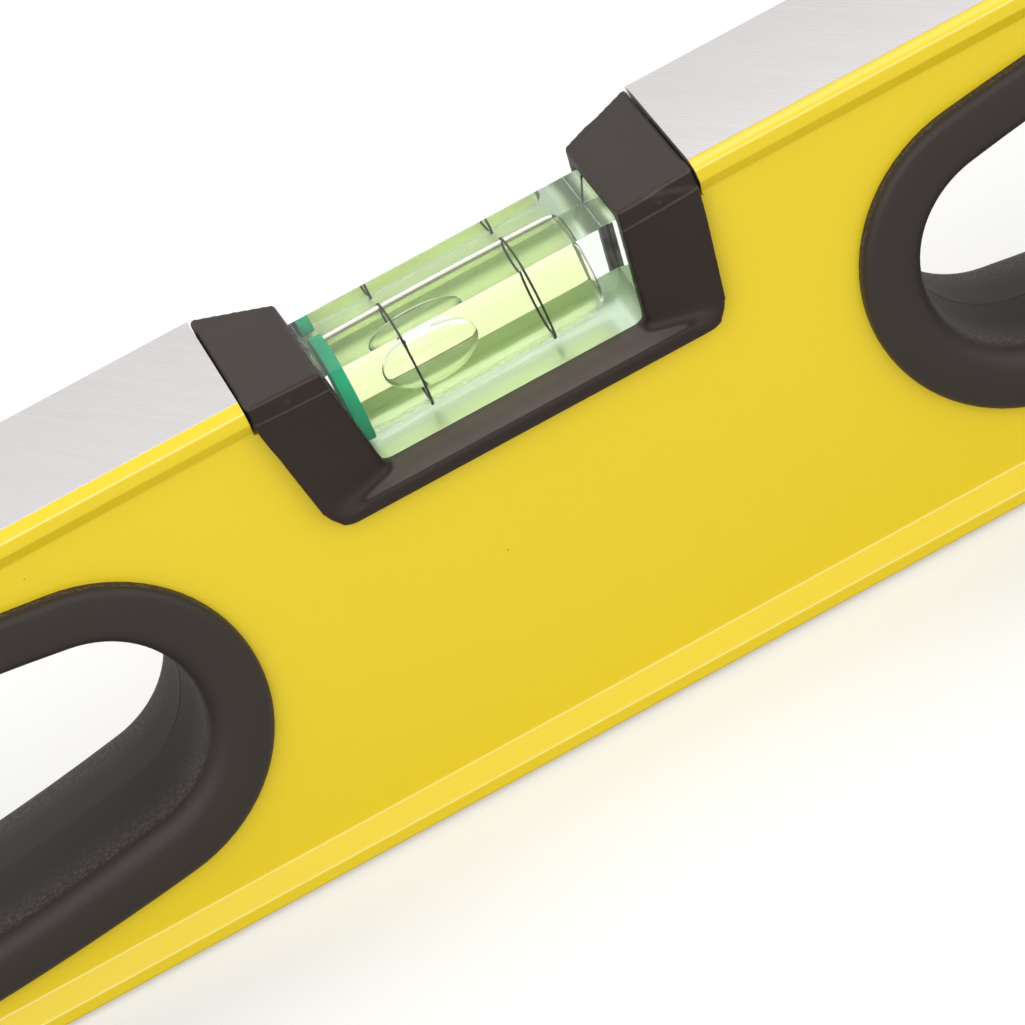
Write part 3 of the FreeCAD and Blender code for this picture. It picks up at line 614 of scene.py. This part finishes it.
def apply_modifier(piece, kind, **settings):
    clear_selection()
    bpy.context.view_layer.objects.active = piece
    piece.select_set(True)
    modifier = piece.modifiers.new(kind.title(), kind)
    for key, setting in settings.items():
        setattr(modifier, key, setting)
    bpy.ops.object.modifier_apply(modifier=modifier.name)


def soften(piece, width, segments=3, angle=25.0):
    """Round the sharp edges and shade the rest smooth, with flat faces kept flat."""
    if width:
        apply_modifier(
            piece,
            "BEVEL",
            width=width,
            segments=segments,
            limit_method="ANGLE",
            angle_limit=math.radians(angle),
            miter_outer="MITER_ARC",
            use_clamp_overlap=True,
        )
    clear_selection()
    bpy.context.view_layer.objects.active = piece
    piece.select_set(True)
    bpy.ops.object.shade_smooth_by_angle(angle=math.radians(angle))
    apply_modifier(piece, "WEIGHTED_NORMAL", weight=80, keep_sharp=True)


def round_edges(piece, width, test, segments):
    """Round the edges that pass a test, whatever small edges lie beside them."""
    with editing(piece):
        pick("edges", lambda edge: len(edge.link_faces) == 2 and test(edge))
        bpy.ops.mesh.bevel(
            offset=width,
            segments=segments,
            affect="EDGES",
            clamp_overlap=False,
            miter_outer="ARC",
            spread=0.1 * width,
        )


def direction(edge):
    return (edge.verts[1].co - edge.verts[0].co).normalized()


def move_to(piece, place):
    """Turn and move a piece built at the origin, and put that into its mesh."""
    piece.matrix_world = place
    clear_selection()
    bpy.context.view_layer.objects.active = piece
    piece.select_set(True)
    bpy.ops.object.transform_apply(location=True, rotation=True, scale=True)


def fit(piece, material, body, slot, *nodes):
    """Give a finished piece its material and its body, and hide the fixed parts it stands for."""
    piece.data.materials.clear()
    piece.data.materials.append(material)
    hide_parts(*nodes)
    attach(piece, body)
    return piece


def centre(node):
    low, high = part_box(node)
    return (low + high) / 2


# --- soft grips -------------------------------------------------------------------


def grip_section(sizes, half_depth):
    """The lining's section: how far out from the hold, and how deep, all the way round.

    No two neighbours share a depth, so that each pair of outlines bridges without a twist.
    """
    face = half_depth - sizes.crown
    inner = sizes.inner_round
    outer = sizes.outer_round
    shim = 0.03 * MM
    points = [(-sizes.draft + sizes.parting, 0.0)]
    for step in range(5):
        share = step / 4
        deep = sizes.parting + (face - inner - sizes.parting) * share
        points.append((-sizes.draft * (1.0 - share), deep))
    for step in range(1, 13):
        turn = math.radians(90.0) * step / 12
        points.append((inner * (1.0 - math.cos(turn)), face - inner * (1.0 - math.sin(turn))))
    flat = sizes.flange - inner - outer
    for share in (0.25, 0.5, 0.75):
        swell = sizes.crown * (1.0 - (2.0 * share - 1.0) ** 2)
        points.append((inner + flat * share, face + swell))
    points.append((sizes.flange - outer, face - 0.2 * shim))
    for step in range(1, 9):
        turn = math.radians(90.0) * step / 8
        in_from_rim = outer * (1.0 - math.sin(turn))
        points.append((sizes.flange - in_from_rim, face - outer * (1.0 - math.cos(turn))))
    points.append((sizes.flange, half_depth - sizes.proud))
    points.append((sizes.sleeve, half_depth - sizes.proud + shim))
    points.append((sizes.sleeve, shim))
    return points


def barrel_arcs(end_shift, end_radius, mid_height):
    """Radius of a barrel outline's long arcs, and how far their middles lie off its own."""
    swell = mid_height - end_radius
    long_radius = (end_shift**2 + mid_height**2 - end_radius**2) / (2 * swell)
    return long_radius, long_radius - mid_height


def on_barrel(spot, end_shift, end_radius, mid_height, depth):
    """Whether a point lies on one barrel outline."""
    long_radius, drop = barrel_arcs(end_shift, end_radius, mid_height)
    off_end = abs(math.hypot(abs(spot.x) - end_shift, spot.z) - end_radius)
    off_side = abs(math.hypot(spot.x, abs(spot.z) + drop) - long_radius)
    return abs(spot.y - depth) < WELD and min(off_end, off_side) < WELD


def spin_barrel(end_shift, end_radius, mid_height, depth):
    """Spin one point round four arcs into a closed outline: two round ends, two long arcs."""
    drop = barrel_arcs(end_shift, end_radius, mid_height)[1]
    lean = math.atan2(drop, end_shift)
    outward = Vector((math.cos(lean), 0.0, -math.sin(lean)))
    start = Vector((end_shift, depth, 0.0)) + end_radius * outward
    bpy.ops.mesh.select_all(action="DESELECT")
    bpy.ops.mesh.primitive_plane_add(size=MM, location=start)
    bpy.ops.mesh.merge(type="CENTER")
    sweep = math.pi - 2 * lean
    for middle_x, middle_z, angle, steps in (
        (end_shift, 0.0, 2 * lean, 36),
        (0.0, -drop, sweep, 20),
        (-end_shift, 0.0, 2 * lean, 36),
        (0.0, drop, sweep, 20),
    ):
        bpy.ops.mesh.spin(
            steps=steps, angle=angle, center=(middle_x, depth, middle_z), axis=(0.0, 1.0, 0.0)
        )
    bpy.ops.mesh.select_linked()
    bpy.ops.mesh.remove_doubles(threshold=WELD)


def build_grip_half(name, node, sizes, material):
    """Half a hand-hold lining: the section's outlines spun one by one, then bridged."""
    low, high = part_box(node)
    half_depth = high.y - low.y
    end_shift = (high.x - low.x) / 2 - sizes.end_radius - sizes.flange
    mid_rise = (high.z - low.z) / 2 - sizes.mid_height
    outlines = []
    for out, deep in grip_section(sizes, half_depth):
        rise = out * (mid_rise / sizes.flange if out > 0.0 else 1.0)
        outlines.append((end_shift, sizes.end_radius + out, sizes.mid_height + rise, -deep))
    piece = new_primitive("plane", name, size=MM)
    with editing(piece):
        bpy.ops.mesh.select_all(action="SELECT")
        bpy.ops.mesh.delete(type="VERT")
        for outline in outlines:
            spin_barrel(*outline)
        for pair in zip(outlines, outlines[1:] + outlines[:1]):
            pick("verts", lambda vert, pair=pair: any(on_barrel(vert.co, *one) for one in pair))
            bpy.ops.mesh.select_mode(type="EDGE")
            bpy.ops.mesh.bridge_edge_loops()
        bpy.ops.mesh.select_all(action="SELECT")
        bpy.ops.mesh.normals_make_consistent(inside=False)
    turn = math.pi if "back" in node else 0.0
    spot = Vector(((low.x + high.x) / 2, 0.0, (low.z + high.z) / 2))
    move_to(piece, Matrix.Translation(spot) @ Matrix.Rotation(turn, 4, "Z"))
    soften(piece, 0.0, angle=40.0)
    return fit(piece, material, "level", "soft_grip", node)


# --- saddle -----------------------------------------------------------------------


def build_saddle(sizes, material):
    """The moulded saddle: re-skinned with even faces, then smoothed at its edges and valleys."""
    piece = copy_node("centre_holder", "centre_saddle")
    with editing(piece):
        pick("verts", lambda vert: vert.co.z > WING_FOOT and abs(vert.co.x) > WING_SIDE)
        bpy.ops.transform.resize(value=(sizes.spread, 1.0, 1.0), center_override=(0.0, 0.0, 0.0))
    apply_modifier(piece, "REMESH", mode="VOXEL", voxel_size=sizes.skin)
    run = VALLEY_HEAD - VALLEY_FOOT

    def in_valley(vert):
        spot = Vector((abs(vert.co.x), abs(vert.co.y), vert.co.z))
        share = min(max((spot - VALLEY_FOOT).dot(run) / run.dot(run), 0.12), 1.0)
        return (VALLEY_FOOT + run * share - spot).length < sizes.valley

    def off_band(vert):
        band = BAND_FOOT - (WING_REACH - abs(vert.co.x)) * WING_FALL
        return vert.co.z < band or abs(vert.co.y) < BAND_DEPTH

    with editing(piece):
        bpy.ops.mesh.select_all(action="SELECT")
        bpy.ops.mesh.vertices_smooth(factor=0.5, repeat=5)
        pick("verts", off_band)
        bpy.ops.mesh.vertices_smooth(factor=0.5, repeat=sizes.passes)
        pick("verts", in_valley)
        bpy.ops.mesh.vertices_smooth(factor=0.5, repeat=4 * sizes.passes)
    apply_modifier(piece, "DECIMATE", ratio=sizes.kept)
    soften(piece, 0.0, angle=80.0)
    return fit(piece, material, "level", "black_plastic", "centre_holder")


# --- vials ------------------------------------------------------------------------


def vial_place(prefix):
    """Where a vial's own axes lie: X from the plug to the blind end, Z out of its top."""
    ring_a = centre(prefix + "_ring_a")
    ring_b = centre(prefix + "_ring_b")
    along = (ring_b - ring_a).normalized()
    back = Vector((0.0, 1.0, 0.0))
    up = along.cross(back)
    turn = Matrix((along, back, up)).transposed().to_4x4()
    origin = (ring_a + ring_b) / 2 - along * bpy.context.scene.vial_sizes.ring_shift
    return Matrix.Translation(origin) @ turn


def in_vial(node, place):
    """A fixed part's points in its vial's own axes, with their lowest and highest corners."""
    back = place.inverted()
    spots = [back @ vert.co for vert in frame["nodes"][node].data.vertices]
    low = Vector([min(spot[axis] for spot in spots) for axis in range(3)])
    high = Vector([max(spot[axis] for spot in spots) for axis in range(3)])
    return spots, low, high


def shape_block(name, prefix, place, sizes, taper, inset):
    """A vial block's body, tapered and with rounded lower corners, smaller by an inset."""
    low, high = in_vial(prefix + "_vial_block", place)[1:]
    low += Vector((inset, inset, inset + 0.03 * MM))
    high -= Vector((inset, inset, inset))
    size = high - low
    piece = new_primitive("cube", name, size=1.0, scale=size, location=(low + high) / 2)
    lower = 1.0 - taper * size.z / high.x
    with editing(piece):
        pick("faces", lambda face: face.normal.z < -0.9)
        bpy.ops.transform.resize(value=(lower, 1.0, 1.0), center_override=(0.0, 0.0, low.z))
        pick(
            "edges",
            lambda edge: middle(edge).z < low.z + 0.1 * MM and abs(middle(edge).x) > size.x / 4,
        )
        bpy.ops.mesh.bevel(offset=sizes.corner, segments=10, affect="EDGES")
        bpy.ops.mesh.select_all(action="SELECT")
        bpy.ops.mesh.normals_make_consistent(inside=False)
    return piece, low


def build_block(prefix, place, sizes, taper, material):
    """The clear block with its polished edges."""
    piece = shape_block(prefix + "_clear_block", prefix, place, sizes, taper, 0.0)[0]
    move_to(piece, place)
    soften(piece, sizes.polish, segments=3, angle=30.0)
    return fit(piece, material, "level", "clear_acrylic", prefix + "_vial_block")


def bore_profile(sizes, left, gap):
    """Radius along a barrel-shaped bore with a rounded blind end."""
    side = sizes.bore_radius - gap
    end = sizes.blind_end - gap
    turn_in = sizes.blind_round
    straight = end - turn_in
    half = (straight - left) / 2
    centre_x = (straight + left) / 2
    points = [(left, 0.0)]
    for step in range(13):
        along = left + (straight - left) * step / 12
        share = (along - centre_x) / half
        points.append((along, side - sizes.crown * share**2))
    edge = side - sizes.crown
    for step in range(1, 10):
        turn = math.radians(90.0) * step / 9
        in_from_edge = turn_in * (1.0 - math.cos(turn))
        points.append((straight + turn_in * math.sin(turn), edge - in_from_edge))
    points.append((end, 0.0))
    return points


def turn_profile(name, points):
    """Extrude a profile point by point and spin it round X into a closed piece."""
    piece = new_primitive("plane", name, size=MM)
    segments = bpy.context.scene.stage_sizes.segments
    with editing(piece):
        bpy.ops.mesh.select_all(action="SELECT")
        bpy.ops.mesh.merge(type="CENTER")
        bpy.ops.transform.translate(value=(points[0][0], 0.0, points[0][1]))
        for before, after in zip(points, points[1:]):
            step = (after[0] - before[0], 0.0, after[1] - before[1])
            bpy.ops.mesh.extrude_region_move(TRANSFORM_OT_translate={"value": step})
        bpy.ops.mesh.select_all(action="SELECT")
        bpy.ops.mesh.spin(
            steps=segments, angle=math.tau, center=(0.0, 0.0, 0.0), axis=(1.0, 0.0, 0.0)
        )
        bpy.ops.mesh.select_all(action="SELECT")
        bpy.ops.mesh.remove_doubles(threshold=WELD)
        bpy.ops.mesh.normals_make_consistent(inside=False)
    return piece


def build_liquid(prefix, place, sizes, left, material):
    piece = turn_profile(prefix + "_liquid_fill", bore_profile(sizes, left, 0.0))
    move_to(piece, place)
    soften(piece, 0.0, angle=45.0)
    return fit(piece, material, "level", "vial_liquid", prefix + "_liquid")


def build_ring(prefix, letter, place, width, material):
    """A thin square-edged ring, turned from its section."""
    node = f"{prefix}_ring_{letter}"
    spots, low, high = in_vial(node, place)
    inner = min(math.hypot(spot.y, spot.z) for spot in spots) + 0.02 * MM
    left = (low.x + high.x - width) / 2
    right = left + width
    points = [(left, inner), (left, high.y), (right, high.y), (right, inner), (left, inner)]
    piece = turn_profile(f"{prefix}_dark_ring_{letter}", points)
    move_to(piece, place)
    soften(piece, 0.03 * MM, segments=2)
    return fit(piece, material, "level", "black_ring", node)


def build_plug(prefix, place, material):
    """The plug, turned with a small bevel on both rims."""
    node = prefix + "_vial_plug"
    low, high = in_vial(node, place)[1:]
    face = high.x - 0.03 * MM
    points = [(low.x, 0.0), (low.x, high.y), (face, high.y), (face, 0.0)]
    piece = turn_profile(prefix + "_green_plug", points)
    move_to(piece, place)
    soften(piece, 0.12 * MM, segments=3)
    fit(piece, material, "level", "green_plug", node)
    return face


def build_reflector(prefix, place, sizes, taper, material):
    """The bright film round the block's foot, open to the front, which lights the vial."""
    gap = 0.02 * MM
    piece, low = shape_block(prefix + "_reflector", prefix, place, sizes, taper, gap)
    with editing(piece):
        bpy.ops.mesh.select_all(action="SELECT")
        rim = low + Vector((0.0, 0.0, sizes.film_rise))
        bpy.ops.mesh.bisect(
            plane_co=rim, plane_no=(0.0, 0.0, 1.0), clear_outer=True, threshold=WELD
        )
        pick("faces", lambda face: face.normal.y < -0.9)
        bpy.ops.mesh.delete(type="FACE")
    apply_modifier(piece, "SOLIDIFY", thickness=0.05 * MM, offset=-1.0)
    move_to(piece, place)
    soften(piece, 0.0, angle=30.0)
    piece.data.materials.append(material)
    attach(piece, "level")


def cut_bubble(piece, point, normal, rim):
    """Slice a bubble's body just above the liquid's surface, then round it off below."""
    cut = point + normal * rim
    with editing(piece):
        bpy.ops.mesh.select_all(action="SELECT")
        bpy.ops.mesh.bisect(
            plane_co=cut, plane_no=normal, use_fill=True, clear_inner=True, threshold=WELD
        )
        bpy.ops.mesh.select_all(action="SELECT")
        bpy.ops.mesh.normals_make_consistent(inside=False)
        pick("faces", lambda face: abs((middle(face) - cut).dot(normal)) < WELD)
        steps = 6
        for step in range(steps):
            before = math.radians(90.0) * step / steps
            after = math.radians(90.0) * (step + 1) / steps
            inward = rim * (math.cos(before) - math.cos(after))
            down = rim * (math.sin(after) - math.sin(before))
            bpy.ops.mesh.inset(thickness=inward, depth=down)


def build_level_bubble(place, sizes, material):
    """The long bubble in the level bore, on the side that the fixed part's bubble is on."""
    spots, low, high = in_vial("centre_bubble", place)
    towards = sum(spots, Vector())
    lean = math.atan2(-towards.y, towards.z)
    up = Vector((0.0, -math.sin(lean), math.cos(lean)))
    surface = min(spot.dot(up) for spot in spots)
    top = max(spot.dot(up) for spot in spots)
    share = math.sqrt(1.0 - (surface / top) ** 2)
    radii = ((high.x - low.x) / 2 / share, top, top)
    piece = new_primitive(
        "uv_sphere", "centre_air_bubble", segments=96, ring_count=64, radius=1.0, scale=radii
    )
    flat = Vector((0.0, 0.0, surface))
    cut_bubble(piece, flat, Vector((0.0, 0.0, 1.0)), sizes.bubble_rim)
    shift = Matrix.Translation(((low.x + high.x) / 2, 0.0, 0.0))
    move_to(piece, place @ shift @ Matrix.Rotation(lean, 4, "X"))
    soften(piece, 0.0, angle=35.0)
    return fit(piece, material, "centre_bubble", "bubble", "centre_bubble")


def build_end_bubble(prefix, place, sizes, material):
    """A bubble in the blind end of a standing bore, level with the world."""
    low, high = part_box(prefix + "_bubble")
    gap = 0.12 * MM
    piece = turn_profile(prefix + "_air_bubble", bore_profile(sizes, 0.0, gap))
    up = place.to_3x3().inverted() @ Vector((0.0, 0.0, 1.0))
    surface = place.inverted() @ Vector(((low.x + high.x) / 2, 0.0, low.z))
    cut_bubble(piece, surface, up, sizes.bubble_rim)
    move_to(piece, place)
    soften(piece, 0.0, angle=35.0)
    return fit(piece, material, prefix + "_bubble", "bubble", prefix + "_bubble")


# --- operators --------------------------------------------------------------------


class LEVEL_OT_beam(bpy.types.Operator):
    """Dress the extrusion in powder coat, bare on its milled faces"""

    bl_idname = "level.beam"
    bl_label = "Coated beam"

    def execute(self, context):
        piece = copy_node("beam", "coated_beam")

        def on_rail(edge):
            spot = middle(edge)
            inside = WELD < spot.z < LEVEL_HEIGHT - WELD
            along = abs(direction(edge).x) > 0.999 and edge.calc_length() > MM
            return inside and along and abs(spot.y) > 9 * MM and edge.calc_face_angle() > 0.2

        round_edges(piece, context.scene.edge_sizes.rail, on_rail, segments=3)
        soften(piece, 0.0, angle=28.0)
        material = coated_beam(context.scene.finish_colours)
        fit(piece, material, "level", "powder_coated_beam", "beam")
        return {"FINISHED"}


class LEVEL_OT_grips(bpy.types.Operator):
    """Model the four halves of the soft hand-hold linings"""

    bl_idname = "level.grips"
    bl_label = "Soft grips"

    def execute(self, context):
        material = soft_grip(context.scene.finish_colours)
        for side in ("left", "right"):
            for face in ("front", "back"):
                name = f"{side}_{face}_lining"
                node = f"{side}_grip_{face}"
                build_grip_half(name, node, context.scene.grip_sizes, material)
        return {"FINISHED"}


class LEVEL_OT_mouldings(bpy.types.Operator):
    """Dress the saddle, the end inserts and the end caps with rounded moulded edges"""

    bl_idname = "level.mouldings"
    bl_label = "Mouldings"

    def execute(self, context):
        material = moulding(context.scene.finish_colours)
        sizes = context.scene.edge_sizes
        build_saddle(sizes, material)
        for node, name, edge in (
            ("plumb_holder_front", "plumb_front_insert", sizes.insert),
            ("plumb_holder_back", "plumb_back_insert", sizes.insert),
            ("tilted_holder_front", "tilted_front_insert", sizes.insert),
            ("tilted_holder_back", "tilted_back_insert", sizes.insert),
            ("left_end_cap", "left_cap", sizes.cap),
            ("right_end_cap", "right_cap", sizes.cap),
        ):
            piece = copy_node(node, name)
            soften(piece, edge, segments=3, angle=28.0)
            fit(piece, material, "level", "black_plastic", node)
        return {"FINISHED"}


class LEVEL_OT_vials(bpy.types.Operator):
    """Model the three vials: clear block, plug, rings, liquid and bubble"""

    bl_idname = "level.vials"
    bl_label = "Vials"

    def execute(self, context):
        colours = context.scene.finish_colours
        sizes = context.scene.vial_sizes
        block = clear_block()
        liquid = vial_liquid()
        air = air_bubble()
        mirror = bright_film(colours)
        plug = plain_gloss("green_plug", colours.plug, 0.5, 400.0, 0.1)
        ring = plain_gloss("dark_ring", colours.ring, 0.5, 900.0, 0.1)
        for prefix, taper in (("centre", sizes.taper), ("plumb", 0.0), ("tilted", 0.0)):
            place = vial_place(prefix)
            build_block(prefix, place, sizes, taper, block)
            build_reflector(prefix, place, sizes, taper, mirror)
            face = build_plug(prefix, place, plug)
            for letter in "ab":
                build_ring(prefix, letter, place, sizes.ring_width, ring)
            build_liquid(prefix, place, sizes, face + 0.02 * MM, liquid)
            if prefix == "centre":
                build_level_bubble(place, sizes, air)
            else:
                build_end_bubble(prefix, place, sizes, air)
        return {"FINISHED"}


class LEVEL_OT_magnets(bpy.types.Operator):
    """Dress the disc magnets in nickel plate"""

    bl_idname = "level.magnets"
    bl_label = "Magnets"

    def execute(self, context):
        material = nickel_plate(context.scene.finish_colours)
        for number in range(1, 5):
            piece = copy_node(f"magnet_{number}", f"plated_magnet_{number}")
            soften(piece, context.scene.edge_sizes.magnet, segments=2)
            fit(piece, material, "level", "magnet", f"magnet_{number}")
        return {"FINISHED"}


class LEVEL_OT_stage(bpy.types.Operator):
    """Set up the floor, the soft studio light and the camera"""

    bl_idname = "level.stage"
    bl_label = "Stage"

    def execute(self, context):
        sizes = context.scene.stage_sizes
        floor = new_primitive("plane", "studio_floor", size=8.0, location=(0.0, 0.0, -0.1 * MM))
        floor.data.materials.append(studio_floor(context.scene.finish_colours))
        make_world(sizes)
        for name, spot, size, watts in LAMPS:
            make_lamp(name, Vector(spot), size, watts * sizes.light)
        # this lamp lights the back, and isn't mirrored in the milled top
        bpy.data.objects["back"].visible_glossy = False
        make_camera(sizes)
        context.scene.view_settings.view_transform = "Standard"
        return {"FINISHED"}


def make_world(sizes):
    """A soft room at one plain level, pure white to the camera, metal and glass."""
    world = bpy.data.worlds.new("studio_room")
    bpy.context.scene.world = world
    world.use_nodes = True
    nodes, links = world.node_tree.nodes, world.node_tree.links
    room = nodes["Background"]
    room.inputs["Color"].default_value = (1.0, 1.0, 1.0, 1.0)
    room.inputs["Strength"].default_value = sizes.room
    white = nodes.new("ShaderNodeBackground")
    path = nodes.new("ShaderNodeLightPath")
    direct = nodes.new("ShaderNodeMath")
    direct.operation = "MAXIMUM"
    seen = nodes.new("ShaderNodeMath")
    seen.operation = "MAXIMUM"
    mixed = nodes.new("ShaderNodeMixShader")
    links.new(path.outputs["Is Camera Ray"], direct.inputs[0])
    links.new(path.outputs["Is Transmission Ray"], direct.inputs[1])
    links.new(direct.outputs[0], seen.inputs[0])
    links.new(path.outputs["Is Glossy Ray"], seen.inputs[1])
    links.new(seen.outputs[0], mixed.inputs[0])
    links.new(room.outputs[0], mixed.inputs[1])
    links.new(white.outputs[0], mixed.inputs[2])
    white.inputs["Color"].default_value = (1.0, 1.0, 1.0, 1.0)
    links.new(mixed.outputs[0], nodes["World Output"].inputs["Surface"])


def make_lamp(name, spot, size, watts):
    lamp = bpy.data.lights.new(name, "AREA")
    lamp.shape = "SQUARE"
    lamp.size = size
    lamp.energy = watts
    holder = bpy.data.objects.new(name, lamp)
    aim = Vector((0.0, 0.0, MIDDLE_HEIGHT)) - spot
    holder.location = spot
    holder.rotation_euler = aim.to_track_quat("-Z", "Y").to_euler()
    holder.visible_camera = False
    bpy.context.scene.collection.objects.link(holder)


def make_camera(sizes):
    """The photograph's viewpoint: it looks down at the middle vial, rolled to one side."""
    azimuth, elevation, roll = sizes.azimuth, sizes.elevation, sizes.roll
    back = Vector(
        (
            math.sin(azimuth) * math.cos(elevation),
            -math.cos(azimuth) * math.cos(elevation),
            math.sin(elevation),
        )
    )
    level_right = Vector((math.cos(azimuth), math.sin(azimuth), 0.0))
    level_up = back.cross(level_right)
    right = math.cos(roll) * level_right - math.sin(roll) * level_up
    up = math.sin(roll) * level_right + math.cos(roll) * level_up
    camera = bpy.data.cameras.new("camera")
    camera.lens = sizes.focal
    camera.sensor_width = 36.0
    camera.clip_start = 0.01
    camera.dof.use_dof = False
    holder = bpy.data.objects.new("camera", camera)
    turn = Matrix((right, up, back)).transposed().to_4x4()
    aim = Vector((sizes.aim_along, 0.0, sizes.aim_height))
    holder.matrix_world = Matrix.Translation(aim + back * sizes.distance) @ turn
    bpy.context.scene.collection.objects.link(holder)
    bpy.context.scene.camera = holder


class LEVEL_PT_sidebar(bpy.types.Panel):
    """Sizes, colours and steps of the spirit level"""

    bl_label = "Spirit level"
    bl_idname = "LEVEL_PT_sidebar"
    bl_space_type = "VIEW_3D"
    bl_region_type = "UI"
    bl_category = "Level"

    def draw(self, context):
        for group in PROPERTY_GROUPS:
            sizes = getattr(context.scene, group)
            box = self.layout.box()
            for key in sizes.bl_rna.properties.keys():
                if key not in ("rna_type", "name"):
                    box.prop(sizes, key)
        for step in STEPS:
            self.layout.operator(f"level.{step}")


PROPERTY_GROUPS = {
    "grip_sizes": GripSizes,
    "vial_sizes": VialSizes,
    "edge_sizes": EdgeSizes,
    "finish_colours": FinishColours,
    "stage_sizes": StageSizes,
}
STEPS = ("beam", "grips", "mouldings", "vials", "magnets", "stage")
CLASSES = (
    *PROPERTY_GROUPS.values(),
    LEVEL_OT_beam,
    LEVEL_OT_grips,
    LEVEL_OT_mouldings,
    LEVEL_OT_vials,
    LEVEL_OT_magnets,
    LEVEL_OT_stage,
    LEVEL_PT_sidebar,
)


def register():
    for item in CLASSES:
        bpy.utils.register_class(item)
    for name, group in PROPERTY_GROUPS.items():
        setattr(bpy.types.Scene, name, PointerProperty(type=group))


def unregister():
    for name in PROPERTY_GROUPS:
        delattr(bpy.types.Scene, name)
    for item in reversed(CLASSES):
        bpy.utils.unregister_class(item)


def main():
    register()
    for step in STEPS:
        getattr(bpy.ops.level, step)()


if __name__ == "__main__":
    main()
